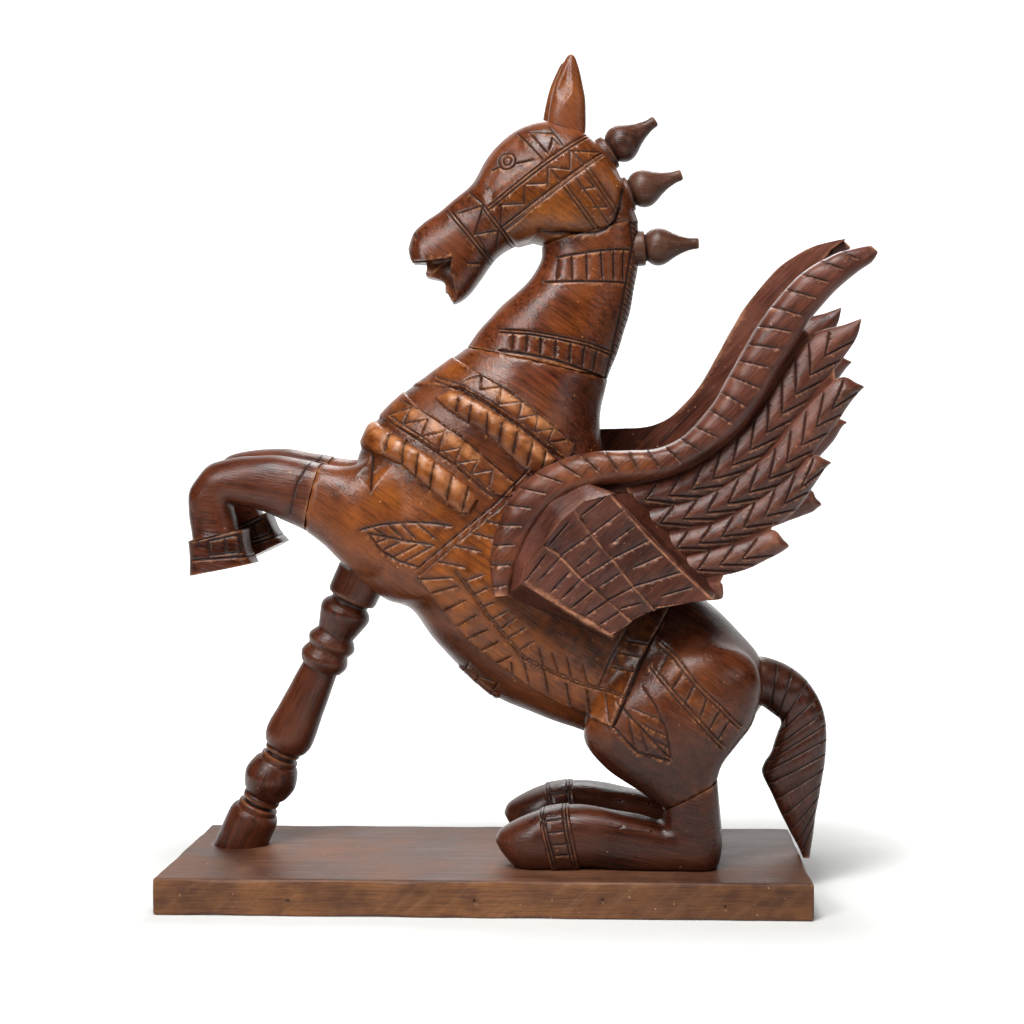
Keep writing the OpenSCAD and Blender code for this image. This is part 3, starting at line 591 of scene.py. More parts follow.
class Carving:
    """Marks on the side plane of one piece, in millimetres."""

    def __init__(self):
        self.cuts = []
        self.fields = []
        self.shingles = []
        self.swells = []
        self.worn_and_highlit = []
        self.golden = []
        self.shade_and_stain_spots = []

    def cut(self, lines, half_width, depth, pillow=0.0):
        """V cuts along lines, with the skin beside them rounded down by pillow."""
        self.cuts += [(np.asarray(line, float), half_width, depth, pillow) for line in lines]

    def twin(self, lines, gap, half_width, depth):
        """Two cuts side by side along each line."""
        for line in lines:
            self.cut([beside(line, gap / 2), beside(line, -gap / 2)], half_width, depth)

    def field(self, outline, height, shoulder, gold=0.0):
        """A field raised by height, or sunk where that is negative, rounded over its shoulder, part gold."""
        self.fields.append((np.asarray(outline, float), height, shoulder, gold))

    def shingle(self, low, high, drop):
        """A strip between two lines that climbs from its low line, sunk by drop, to its high line."""
        self.shingles.append((np.concatenate([low, high[::-1]]), low, high, drop))

    def swell(self, spots):
        """Soft rises of the skin with no edge: centre, radius and height of each."""
        self.swells += spots

    def wear_and_highlight(self, lines, half_width):
        """Pale edges along lines: stain rubbed away, and on the chest's crests also a painted highlight."""
        self.worn_and_highlit += [(np.asarray(line, float), half_width) for line in lines]

    def gold(self, spots):
        """Soft patches where the stain is worn to gold: centre, radius and strength of each."""
        self.golden += spots

    def shade_and_stain(self, spots):
        """Soft darker patches, painted shade on most pieces and blotches of dark stain on the plank: centre,
        radius and strength of each.
        """
        self.shade_and_stain_spots += spots

    def nearness(self, flat, reach):
        """Distance to the nearest cut, worn edge or painted highlight, or field edge, up to reach."""
        nearest = np.full(len(flat), reach)
        lines = [line for line, *_ in self.cuts + self.worn_and_highlit]
        lines += [np.concatenate([outline, outline[:1]]) for outline, *_ in self.fields + self.shingles]
        for line in lines:
            close = near_box(flat, line, reach)
            nearest[close] = np.minimum(nearest[close], line_distance(flat[close], line))
        return nearest

    def height(self, flat):
        """Height of the skin, darkness of cuts, paleness of lips and of worn edges, both partly painted
        highlight, and stain beside cuts.
        """
        rise = np.zeros(len(flat))
        for outline, height, shoulder, _ in self.fields:
            share = np.clip(depth_inside(flat, outline) / shoulder, 0, 1)
            rise += height * (np.sqrt(1 - (1 - share) ** 2) if height > 0 else share ** 2 * (3 - 2 * share))
        for outline, low, high, drop in self.shingles:
            to_low, to_high = line_distance(flat, low), line_distance(flat, high)
            fall = to_high / np.maximum(to_low + to_high, 0.01)
            start = np.clip(line_distance(flat, np.stack([low[0], high[0]])) / shingle_start, 0, 1)
            rise -= drop * fall * start * np.clip(depth_inside(flat, outline) / shingle_edge, 0, 1)
        for centre, radius, height in self.swells:
            rise += height * soft_spot(flat, centre, radius)
        groove, trough, dark, lip, stain = np.zeros((5, len(flat)))
        for line, half_width, depth, pillow in self.cuts:
            close = near_box(flat, line, cut_reach)
            away, from_end = line_place(flat[close], line)
            run_out = min(stroke_run, stroke_share * np.linalg.norm(np.diff(line, axis=0), axis=1).sum())
            closed = np.allclose(line[0], line[-1])
            share = away / half_width / (1 if closed else np.minimum(1, stroke_end + from_end / run_out))
            groove[close] = np.maximum(groove[close], depth * np.clip(1 - share, 0, 1))
            dark[close] = np.maximum(dark[close], np.clip(dark_width - share, 0, 1))
            # The lower lip, which is painted pale as a highlight
            below = line_distance(flat[close], line - [0, lip_drop * half_width]) / half_width
            lip[close] = np.maximum(lip[close], np.clip(1 - below / lip_reach, 0, 1))
            stain[close] = np.maximum(stain[close], np.exp(-(away / stain_reach) ** 2))
            beside_cut = np.exp(-(away / pillow_reach) ** 2) * np.clip(from_end / pillow_reach, 0, 1)
            trough[close] = np.maximum(trough[close], pillow * beside_cut)
        lip = np.where(dark > 0, 0, lip)
        for line, half_width in self.worn_and_highlit:
            paleness = worn_strength - worn_strength * line_distance(flat, line) / half_width
            lip = np.maximum(lip, np.clip(paleness, 0, 1))
        return rise - groove - trough + lip_height * lip, dark, lip, stain

    def tone(self, flat):
        """How golden the stain is, and how dark the patches of painted shade and dark stain are, at flat
        points, each from
        0 to 1.
        """
        gold = np.zeros(len(flat))
        for outline, _, _, strength in self.fields:
            if strength > 0:
                gold = np.maximum(gold, strength * np.clip(depth_inside(flat, outline) / gold_fade, 0, 1))
        for centre, radius, strength in self.golden:
            gold += strength * soft_spot(flat, centre, radius) * (1 - gold)
        shade_and_stain = np.zeros(len(flat))
        for centre, radius, strength in self.shade_and_stain_spots:
            shade_and_stain += strength * soft_spot(flat, centre, radius) * (1 - shade_and_stain)
        return gold, shade_and_stain


def soft_spot(flat, centre, radius):
    """One at a centre, falling off as a bell curve of a radius."""
    return np.exp(-((flat - centre) ** 2).sum(axis=1) / radius ** 2)


def depth_inside(flat, outline):
    """Distance of each flat point inwards from an outline, nought outside it."""
    depth = np.zeros(len(flat))
    close = near_box(flat, outline, 1.0)
    ring = np.concatenate([outline, outline[:1]])
    depth[close] = line_distance(flat[close], ring) * inside(flat[close], outline)
    return depth


def near_box(flat, line, margin):
    """True for flat points inside a line's box with a margin."""
    low, high = line.min(axis=0) - margin, line.max(axis=0) + margin
    return ((flat >= low) & (flat <= high)).all(axis=1)


# Waves that make up the unevenness, and the range of their pitch
wave_count = 9
wave_range = (0.6, 1.5)


def uneven(points, amount, length, seed):
    """Slow unevenness left by hand tools: sine waves of about one length in seeded directions."""
    rng = np.random.default_rng(seed)
    ways = rng.normal(size=(wave_count, 3))
    pitch = rng.uniform(*wave_range, (wave_count, 1))
    ways *= 2 * math.pi / length / np.linalg.norm(ways, axis=1, keepdims=True) * pitch
    waves = np.sin(points @ ways.T + rng.uniform(0, 2 * math.pi, wave_count))
    return amount * waves.mean(axis=1) * 2


# Rounds of evening out that find fine and broad hollows, and the shortest edge that they are measured by
fine_rounds = 2
broad_rounds = 14
shortest_edge = 0.2


def hollows(points, faces):
    """How far vertices lie below their neighbours' mean, by edge length, evened out a little and a lot."""
    edges = edges_of(faces)[0]
    count = len(points)
    lengths = np.linalg.norm(points[edges[:, 0]] - points[edges[:, 1]], axis=1)
    size = np.bincount(edges.ravel(), np.repeat(lengths, 2), count)
    size /= np.maximum(np.bincount(edges.ravel(), minlength=count), 1)

    def evened(values, rounds):
        for _ in range(rounds):
            values = 0.5 * values + 0.5 * around(values, edges, count)
        return values
    below = ((around(points, edges, count) - points) * normals_of(points, faces)).sum(1)
    fine = evened(below / np.maximum(size, shortest_edge), fine_rounds)
    return fine, evened(fine, broad_rounds - fine_rounds)


# Share of a one-sided piece's depth, from its hidden side, that isn't made finer
hidden_share = 0.25
# Carving sets in where the skin turns to the side, over a stretch of its turn, from a least depth to the full
side_turn = -0.45
side_stretch = 0.3
least_relief = 0.35
full_turn = 0.4
# Length of the waves of the skin's unevenness
uneven_length = 26.0
# Gain and start of the painted shade in fine hollows and of the wear on ridges, and gain of the painted shade
# in broad hollows
hollow_gain, hollow_start = 4, 0.3
ridge_gain, ridge_start = 5, 0.4
broad_shade_gain = 14
# Strengths of the stain beside cuts and of the painted highlight on their lower lips
stain_strength = 0.6
lip_highlight = 0.8


def carved(mesh, carving, seed, one_sided=False, rounded=True, wobble=0.3, edge=carved_edge):
    """The skin refined along its marks and pushed along its normals, with what the finish reads there.

    Finish is dark in cuts with their stain and in fine hollows with painted shade, pale on worn edges and with
    a painted highlight on the lower lips of cuts, golden where stain is thin, and dark with painted shade in
    broad hollows, with the darker patches and with stain beside cuts.
    A one-sided piece is carved on its side towards -y, and its hidden side stays coarse.
    """
    depth = mesh[0][:, 1]
    hidden_from = np.max(depth) - hidden_share * np.ptp(depth)

    def wanted(points):
        away = carving.nearness(points[:, [0, 2]], zone_reach)
        away = np.where(one_sided & (points[:, 1] > hidden_from), zone_reach, away)
        return np.clip(edge + edge_growth * (away - cut_zone), edge, plain_edge)
    points, faces = refined(mesh, wanted, rounded)
    normals = normals_of(points, faces)
    side = np.where(one_sided, -1.0, np.sign(points[:, 1]))
    turned_out = normals[:, 1] * side
    faces_out = np.clip((turned_out - side_turn) / side_stretch, 0, 1)
    relief = faces_out * (least_relief + (1 - least_relief) * np.clip(turned_out / full_turn, 0, 1))
    flat = points[:, [0, 2]]
    rise, dark, lip, stain = carving.height(flat)
    gold, shade_and_stain = carving.tone(flat)
    points = points + normals * (rise * relief + uneven(points, wobble, uneven_length, seed))[:, None]
    fine, broad = hollows(points, faces)
    # In cuts: their stain, and painted shade in fine hollows
    in_cuts = np.maximum(dark * faces_out, np.clip(fine * hollow_gain - hollow_start, 0, 1))
    # On edges: wear on ridges, and the lower lips of cuts painted pale as a highlight
    on_edges = np.clip(np.maximum(-fine * ridge_gain - ridge_start, lip_highlight * lip * faces_out), 0, 1)
    # Darkened: painted shade in broad hollows, the darker patches of painted shade and dark stain, and stain
    # beside cuts
    stain_and_painted_shade = np.maximum.reduce([np.clip(broad * broad_shade_gain, 0, 1), stain_strength * stain * faces_out,
                               shade_and_stain * faces_out])
    return points, faces, np.stack([in_cuts, on_edges, gold * faces_out, stain_and_painted_shade], 1)


def place_piece(node, parts, material, shift=(0, 0, 0)):
    """Puts carved skins into one mesh object that stands for a node and rides on the part's one body."""
    points, faces = joined([part[:2] for part in parts])
    points = points + np.asarray(shift, float) + figure_place
    finish = np.concatenate([part[2] for part in parts])
    data = blender_mesh(node + "_skin", points * MM, faces)
    attribute = data.attributes.new("finish", "FLOAT_COLOR", "POINT")
    attribute.data.foreach_set("color", finish.astype(np.float32).ravel())
    data.polygons.foreach_set("use_smooth", np.ones(len(faces), bool))
    data.set_sharp_from_angle(angle=math.radians(sharp_turn))
    data.materials.append(material)
    skin = add_object(node + "_skin", data)
    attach(skin, "root")
    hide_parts(node)


def plain(mesh, seed, wobble=0.15):
    """A skin with no marks, only the finish and a little unevenness."""
    return carved(mesh, Carving(), seed, wobble=wobble)


def mirrored_part(part):
    """A carved skin mirrored in the plane y = 0."""
    points, faces = across_middle(part[:2])
    return points, faces, part[2]


def shifted_part(part, shift):
    """A carved skin shifted by a vector."""
    return part[0] + np.asarray(shift, float), part[1], part[2]


# Materials
def linear(colour):
    """Linear RGBA of an sRGB hex colour."""
    parts = np.array([int(colour[i:i + 2], 16) for i in (1, 3, 5)]) / 255
    return tuple(np.where(parts <= 0.04045, parts / 12.92, ((parts + 0.055) / 1.055) ** 2.4)) + (1.0,)


def add_node(tree, kind, inputs=None, **settings):
    """Adds a shader node, sets its properties, and sets or links its inputs by name or number."""
    made = tree.nodes.new("ShaderNode" + kind)
    for name, value in settings.items():
        setattr(made, name, value)
    for name, value in (inputs or {}).items():
        if isinstance(value, bpy.types.NodeSocket):
            tree.links.new(value, made.inputs[name])
        else:
            made.inputs[name].default_value = value
    return made


def new_material(name):
    """A material, its node tree, its shader and the object's own coordinates."""
    material = bpy.data.materials.new(name)
    material.use_nodes = True
    tree = material.node_tree
    where = add_node(tree, "TexCoord").outputs["Object"]
    return material, tree, tree.nodes["Principled BSDF"], where


# Stain that gathers in the cuts, also laid as painted shade in fine hollows
cut_stain_and_shade = "#120603"


def stained_wood(name, dark, middle, pale, gold, worn_and_highlit, grain_turn=(0, 0, 0), roughness=(0.2, 0.36),
                 fibre=(60, 3), sawn=0.0):
    """Stained hardwood polished by hand: fibres and pores along the grain, blotches, cuts dark with stain, pale
    worn edges, and painted shade and painted highlights where the finish holds them.

    The grain runs along the turned X axis: fibres of a length and width, brushed lines 1.2 mm wide and 36 mm
    long, pores 0.9 mm wide and 14 mm long, drawn a little coarser than real so that they show. Blotches of
    stain are about 45 mm across, worn patches 15 mm, scuffs 6 mm and a few specks of bare wood 1 mm. A sawn
    face, where the finish is golden, has slanting saw marks 6 mm wide and 70 mm long.
    """
    material, tree, shader, where = new_material(name)
    turn = tuple(math.radians(angle) for angle in grain_turn)

    def streaks(length, width, detail, rotation=turn):
        size = (length * MM, width * MM, width * MM)
        mapped = add_node(tree, "Mapping", {"Vector": where, "Rotation": rotation, "Scale": size},
                          vector_type="TEXTURE")
        return add_node(tree, "TexNoise", {"Vector": mapped.outputs[0], "Scale": 1.0, "Detail": detail,
                                           "Roughness": 0.6}).outputs[0]

    def spots(size, detail):
        fine = 1 / (size * MM)
        return add_node(tree, "TexNoise", {"Vector": where, "Scale": fine, "Detail": detail}).outputs[0]

    def spread(value, low, high, to_low=0.0, to_high=1.0):
        return add_node(tree, "MapRange", {0: value, 1: low, 2: high, 3: to_low, 4: to_high}).outputs[0]

    def blend(share, a, b):
        return add_node(tree, "Mix", {0: share, 6: a, 7: b}, data_type="RGBA").outputs[2]

    def times(a, b):
        return add_node(tree, "Math", {0: a, 1: b}, operation="MULTIPLY").outputs[0]

    def plus(a, b):
        return add_node(tree, "Math", {0: a, 1: b}, operation="ADD").outputs[0]

    fibres = streaks(*fibre, 4.0)
    brushed = streaks(36, 1.2, 3.0)
    pores = streaks(14, 0.9, 2.0)
    blotches = spots(45, 3.0)
    patches = spots(15, 4.0)
    scuffs = spots(6, 4.0)
    specks = spots(3, 1.0)
    finish = add_node(tree, "Attribute", attribute_name="finish")
    share = add_node(tree, "SeparateColor", {0: finish.outputs["Color"]})
    in_cut, on_edge, golden = share.outputs[0], share.outputs[1], share.outputs[2]
    # Alpha of the finish: painted shade in hollows, under patches and on the panel's sides, with dark stain
    stain_and_painted_shade = finish.outputs["Alpha"]

    wood = blend(spread(fibres, 0.3, 0.62), linear(dark), linear(middle))
    wood = blend(times(spread(blotches, 0.42, 0.72), 0.75), wood, linear(pale))
    patchy = times(spread(patches, 0.36, 0.62, 0.3, 1.0), spread(fibres, 0.25, 0.6, 0.45, 1.0))
    wood = blend(times(golden, patchy), wood, linear(gold))
    wood = blend(spread(brushed, 0.3, 0.46, 0.5, 0.0), wood, linear(pale))
    wood = blend(spread(brushed, 0.52, 0.72, 0.0, 0.5), wood, linear(dark))
    wood = blend(spread(pores, 0.52, 0.7, 0.0, 0.4), wood, linear(dark))
    if sawn > 0:
        saw_marks = streaks(70, 6.0, 4.0, (0, math.radians(-40), 0))
        wood = blend(times(golden, spread(saw_marks, 0.46, 0.68, 0.0, sawn)), wood, linear(middle))
        wood = blend(times(golden, spread(saw_marks, 0.3, 0.46, 0.6 * sawn, 0.0)), wood, linear(worn_and_highlit))
    # Toward the dark colour: painted shade in broad hollows, on the panel's sides and in shade patches, and
    # dark stain
    wood = blend(times(stain_and_painted_shade, spread(scuffs, 0.3, 0.62, 1.0, 0.7)), wood, linear(dark))
    # Toward the pale colour: worn edges, and cut lips and rubbed crests painted pale as highlights
    wood = blend(times(on_edge, spread(scuffs, 0.36, 0.6, 0.2, 1.0)), wood, linear(worn_and_highlit))
    wood = blend(spread(specks, 0.77, 0.8, 0.0, 0.8), wood, linear(worn_and_highlit))
    # Cuts take their stain, and fine hollows the same colour as painted shade
    cut_depth = times(spread(in_cut, 0.2, 0.95, 0.0, 1.0), spread(scuffs, 0.3, 0.6, 1.0, 0.7))
    wood = blend(cut_depth, wood, linear(cut_stain_and_shade))
    tree.links.new(wood, shader.inputs["Base Color"])
    rough = plus(spread(blotches, 0.3, 0.7, roughness[0], roughness[1]), times(in_cut, 0.3))
    tree.links.new(rough, shader.inputs["Roughness"])
    grain = plus(times(brushed, 0.5), times(pores, 0.5))
    bump = add_node(tree, "Bump", {"Height": grain, "Strength": 0.5, "Distance": 0.8 * MM})
    tree.links.new(bump.outputs[0], shader.inputs["Normal"])
    shader.inputs["IOR"].default_value = 1.5
    shader.inputs["Specular IOR Level"].default_value = 0.3
    return material


# Body, neck and head carry the reddest stain, worn to gold on the chest, jaw and belly
body_wood = stained_wood("polished_red_brown_hardwood", "#220b05", "#612d18", "#7e4423", "#98531b", "#b0754a",
                         grain_turn=(0, 35, 0))
head_wood = stained_wood("polished_head_hardwood", "#250e07", "#5f2d18", "#7c4325", "#94531b", "#b47d52",
                         grain_turn=(0, 40, 0))
leg_wood = stained_wood("polished_leg_hardwood", "#1c0904", "#4d2212", "#65341f", "#86481a", "#9c6846",
                        grain_turn=(0, 10, 0))
wing_wood = stained_wood("plum_brown_stained_hardwood", "#25100b", "#5b2f21", "#784636", "#86491f", "#b07a5c",
                         grain_turn=(0, -45, 0), roughness=(0.28, 0.42))
turned_wood = stained_wood("turned_dark_hardwood", "#1a0904", "#4c2212", "#64321c", "#874a1b", "#97613f",
                           grain_turn=(0, -65, 0), roughness=(0.26, 0.38))
finial_wood = stained_wood("satin_turned_hardwood", "#24110b", "#4b291c", "#62402f", "#71462a", "#8f664c",
                           roughness=(0.32, 0.44))
tail_wood = stained_wood("ringed_tail_hardwood", "#230f09", "#482317", "#5c3323", "#7a4218", "#946146",
                         grain_turn=(0, 70, 0))
plank_wood = stained_wood("worn_plank_hardwood", "#2e160d", "#5e3824", "#7f553d", "#80532f", "#b68e6a",
                          roughness=(0.44, 0.6), fibre=(190, 5), sawn=0.2)


# Each piece's values below give the planes that its lines are drawn on, the lines, and the tools that cut
# them. A cut has a half width, a depth and how far the skin beside it is rounded down, and a twin line starts
# with the gap between its cuts. A rise has a height, the reach of its shoulder and its gold.

# Torso
chest_y = -48.0
thigh_y = -70.0
upper_band = [405, 384, 432, 345, 481, 375, 501, 387, 526, 406, 550, 426, 574, 445, 566, 462, 558, 456,
              540, 441, 514, 422, 485, 402, 461, 388]
upper_band_edge = [432, 379, 461, 388, 485, 402, 514, 422, 540, 441, 558, 456]
upper_band_top = [481, 375, 501, 387, 526, 406, 550, 426, 574, 445]
upper_zigzag = [464, 381, 481, 376, 480, 391, 501, 388, 499, 406, 521, 403, 518, 420, 536, 416, 534, 433,
                551, 430, 546, 444, 565, 440]
upper_roll = [434, 398, 447, 391, 462, 392, 485, 407, 513, 427, 539, 446, 556, 460, 547, 474, 528, 475,
              505, 453, 485, 434, 469, 424, 444, 408]
upper_roll_bars = [[459, 400, 456, 413], [472, 407, 468, 424], [488, 415, 486, 435], [502, 425, 499, 445],
                   [517, 433, 513, 455], [532, 443, 527, 466], [545, 452, 541, 473]]
lower_band = [352, 405, 380, 376, 426, 414, 461, 437, 493, 465, 515, 483, 512, 497,
              493, 495, 452, 461, 418, 438]
lower_band_edge = [385, 417, 418, 438, 452, 461, 493, 495]
lower_band_top = [400, 401, 426, 414, 461, 437, 493, 465, 515, 483]
lower_zigzag = [387, 415, 410, 408, 402, 424, 427, 420, 421, 437, 444, 432, 438, 452, 461, 448, 454, 464,
                478, 460, 471, 474, 493, 470, 489, 488]
lower_roll = [352, 446, 362, 416, 397, 437, 428, 455, 471, 487, 478, 500, 470, 514,
              461, 514, 432, 491, 401, 465]
lower_roll_bars = [[389, 434, 385, 453], [405, 440, 402, 466], [419, 453, 416, 477], [435, 463, 430, 490],
                   [453, 475, 447, 502], [469, 487, 463, 512]]
# Crests of the rolls and bands, where the stain is rubbed thin and which are painted pale as highlights
rubbed_highlight_lines = [[450, 397, 485, 414, 515, 434, 545, 459], [368, 426, 397, 444, 428, 464, 468, 496],
                [412, 412, 446, 434, 476, 458], [492, 390, 520, 409, 550, 432]]
crest_highlight_width = 5.5
shoulder_hollow = [354, 476, 367, 450, 392, 464, 371, 494]
shoulder_crease = [[368, 453, 370, 472, 371, 492]]
shoulder_leaf = [[360, 530, 379, 525, 408, 522, 432, 523, 453, 526], [368, 533, 381, 551, 397, 561, 418, 567],
                 [368, 533, 399, 540, 435, 545]]
shoulder_veins = [[374, 528, 389, 538], [388, 525, 404, 539], [400, 523, 416, 539], [415, 522, 437, 539],
                  [387, 539, 375, 543], [399, 542, 382, 551], [418, 544, 391, 558], [434, 545, 404, 562]]
saddle_field = [417, 575, 461, 538, 499, 507, 531, 474, 560, 500, 640, 590, 668, 611, 651, 642, 633, 681,
                613, 723, 590, 715, 562, 704, 532, 688, 499, 665, 471, 643, 444, 612]
saddle_ridge = [531, 472, 499, 505, 461, 536, 417, 573]
saddle_middle = [454, 567, 466, 582, 488, 613, 510, 640, 525, 657, 551, 670, 581, 682, 627, 695]
saddle_blocks = [[417, 579, 454, 577], [432, 592, 459, 585], [443, 611, 467, 599], [456, 627, 478, 614],
                 [469, 638, 488, 629], [480, 651, 501, 640], [495, 664, 512, 655], [512, 661, 513, 677],
                 [524, 660, 530, 685], [544, 668, 549, 694], [566, 680, 571, 706], [587, 687, 592, 714],
                 [607, 693, 611, 719], [467, 580, 484, 574], [474, 594, 490, 586], [482, 607, 496, 601],
                 [491, 619, 510, 609], [499, 630, 517, 616], [507, 638, 527, 626], [519, 650, 535, 640],
                 [539, 646, 544, 664], [552, 650, 559, 672], [567, 655, 572, 677], [582, 660, 588, 682],
                 [486, 521, 501, 524], [472, 533, 496, 539], [454, 545, 481, 551], [438, 561, 467, 567]]
girth_strap = [[668, 611, 651, 642, 633, 681, 613, 723], [629, 624, 610, 659, 599, 687]]
girth_bars = [[619, 652, 642, 657], [612, 666, 636, 672], [626, 640, 648, 645]]
buckle_field = [461, 662, 474, 668, 502, 690, 498, 700, 480, 692, 460, 674]
buckle_bars = [[473, 657, 464, 671], [502, 676, 495, 686, 494, 697], [473, 661, 482, 671, 497, 676],
               [467, 669, 478, 676, 491, 692], [481, 671, 480, 679]]
# Soft rises of the upper chest and of the haunch: x and y in the photograph, reach and height
chest_swells = [[495, 408, 24, 4.0], [535, 428, 24, 5.0]]
haunch_swells = [[694, 655, 30, 4.5]]
haunch_top = [659, 646, 677, 663, 698, 687, 720, 707, 741, 729]
haunch_low = [651, 668, 668, 687, 694, 715, 724, 749]
haunch_dashes = [[670, 657, 659, 676], [684, 672, 672, 689], [695, 683, 685, 703], [707, 697, 700, 717],
                 [719, 711, 709, 730], [729, 722, 719, 739]]
haunch_leaf = [[642, 686, 655, 704, 666, 728, 671, 758], [613, 726, 638, 752, 670, 760],
               [618, 704, 642, 728, 669, 757]]
haunch_veins = [[633, 708, 659, 718], [642, 723, 665, 734], [649, 736, 668, 746], [628, 718, 634, 744],
                [641, 730, 648, 754]]
# Patches worn to gold, and patches of painted shade under the wing and its panel, at the neck's foot and in the
# shoulder's crease, and over the belly, thigh and haunch: x and y in the photograph, reach and strength
torso_gold = [[400, 495, 34, 0.8], [425, 545, 36, 0.8], [350, 520, 26, 0.4], [480, 380, 26, 0.4],
              [440, 440, 30, 0.3], [678, 672, 13, 0.6], [471, 612, 22, 0.5], [546, 672, 22, 0.5],
              [584, 703, 20, 0.5], [448, 573, 18, 0.5], [500, 650, 18, 0.5], [695, 692, 13, 0.6],
              [712, 710, 13, 0.6], [647, 728, 14, 0.6], [565, 680, 18, 0.5]]
torso_painted_shade = [[362, 468, 9, 0.9], [645, 650, 24, 0.9], [585, 395, 24, 0.6], [600, 440, 24, 0.5],
               [640, 800, 30, 0.6], [612, 690, 16, 0.6], [530, 612, 15, 0.9], [552, 624, 15, 0.95],
               [575, 636, 16, 0.95], [598, 648, 17, 0.95], [620, 655, 18, 0.9], [635, 622, 30, 1.0],
               [690, 775, 46, 0.85], [480, 720, 40, 0.6], [640, 770, 42, 0.8], [735, 680, 36, 0.5],
               [660, 625, 34, 0.7], [455, 665, 26, 0.6]]
band_rise = (2.0, 1.2, 0.5)
band_twin = (3.2, 0.7, 0.9)
band_cut = (0.75, 0.9)
upper_roll_rise = (5.2, 8.0, 0.6)
lower_roll_rise = (5.4, 9.0, 0.7)
roll_notch = (1.2, 1.4, 1.2)
shoulder_hollow_rise = (-3.0, 8.0)
shoulder_crease_cut = (1.3, 1.6)
shoulder_leaf_cut = (1.2, 1.2)
shoulder_vein_cut = (1.0, 0.9)
saddle_rise = (3.0, 1.4, 0.9)
saddle_ridge_twin = (4.4, 0.8, 1.2)
saddle_middle_twin = (1.8, 0.7, 0.9)
saddle_block_cut = (0.8, 1.0, 0.5)
girth_cut = (1.1, 1.2)
girth_bar_cut = (1.0, 1.0)
buckle_rise = (2.4, 2.0)
buckle_cut = (0.9, 1.0)
haunch_twin = (2.8, 0.9, 0.9)
haunch_dash_cut = (1.2, 1.2, 0.5)
haunch_leaf_cut = (1.1, 1.1)
haunch_vein_cut = (0.9, 0.9)
# Fineness of the grid on which trunk, shoulders and thighs become one skin, and rounds of smoothing after it
torso_voxel = 2.6
torso_rounds = 8
# Where the thigh runs into the back and the rump without an edge: middles and reaches of the blends on the
# side plane, and rounds of easing
haunch_blend = np.array([140.0, 158.0])
haunch_reach = np.array([80.0, 32.0])
haunch_rounds = 60
rump_blend = np.array([182.0, 151.0])
rump_reach = np.array([28.0, 20.0])
rump_rounds = 70


def torso_carving():
    """Bands, rolls, leaves and straps of the chest, belly and haunch."""
    marks = Carving()
    for band, edge, band_lines, roll, roll_rise, bars in (
            (upper_band, upper_band_edge, [upper_band_top, upper_zigzag], upper_roll, upper_roll_rise,
             upper_roll_bars),
            (lower_band, lower_band_edge, [lower_band_top, lower_zigzag], lower_roll, lower_roll_rise,
             lower_roll_bars)):
        marks.field(drawn(band, chest_y), *band_rise)
        marks.twin([drawn(edge, chest_y)], *band_twin)
        marks.cut(drawn_all(band_lines, chest_y), *band_cut)
        marks.field(drawn(roll, chest_y), *roll_rise)
        marks.cut(drawn_all(bars, chest_y), *roll_notch)
    # Rubbed crests, painted pale as highlights
    marks.wear_and_highlight(drawn_all(rubbed_highlight_lines, chest_y), crest_highlight_width)
    marks.field(drawn(shoulder_hollow, chest_y), *shoulder_hollow_rise)
    marks.cut(drawn_all(shoulder_crease, chest_y), *shoulder_crease_cut)
    marks.cut(drawn_all(shoulder_leaf, chest_y), *shoulder_leaf_cut)
    marks.cut(drawn_all(shoulder_veins, chest_y), *shoulder_vein_cut)
    marks.field(drawn(saddle_field, chest_y), *saddle_rise)
    marks.twin([drawn(saddle_ridge, chest_y)], *saddle_ridge_twin)
    marks.twin([drawn(saddle_middle, chest_y)], *saddle_middle_twin)
    marks.cut(drawn_all(saddle_blocks, chest_y), *saddle_block_cut)
    marks.cut(drawn_all(girth_strap, chest_y), *girth_cut)
    marks.cut(drawn_all(girth_bars, chest_y), *girth_bar_cut)
    marks.swell(drawn_spots(chest_swells, chest_y) + drawn_spots(haunch_swells, thigh_y))
    marks.field(drawn(buckle_field, 0.0), *buckle_rise)
    marks.cut(drawn_all(buckle_bars, 0.0), *buckle_cut)
    marks.twin(drawn_all([haunch_top, haunch_low], thigh_y), *haunch_twin)
    marks.cut(drawn_all(haunch_dashes, thigh_y), *haunch_dash_cut)
    marks.cut(drawn_all(haunch_leaf, thigh_y), *haunch_leaf_cut)
    marks.cut(drawn_all(haunch_veins, thigh_y), *haunch_vein_cut)
    marks.gold(drawn_spots(torso_gold, chest_y))
    # Painted shade under the wing and the neck, and over the belly and thigh
    marks.shade_and_stain(drawn_spots(torso_painted_shade, chest_y))
    return marks


def make_torso():
    """Trunk, shoulders and thighs as one eased skin, then carved."""
    parts = [loft(torso_stations)]
    for side in (-1, 1):
        raise_z = right_foreleg_raise if side > 0 else 0.0
        parts.append(moved(loft(shoulder_stations), (0, side * fore_spread, raise_z)))
        parts.append(moved(loft(thigh_stations), (0, side * hind_spread, 0)))
    skin = smoothed(merged(parts, torso_voxel), torso_rounds)
    skin = eased_at(skin, haunch_blend, haunch_reach, haunch_rounds)
    skin = eased_at(skin, rump_blend, rump_reach, rump_rounds)
    part = carved(skin, torso_carving(), seed=11, edge=torso_carved_edge)
    place_piece("torso", [part], body_wood)


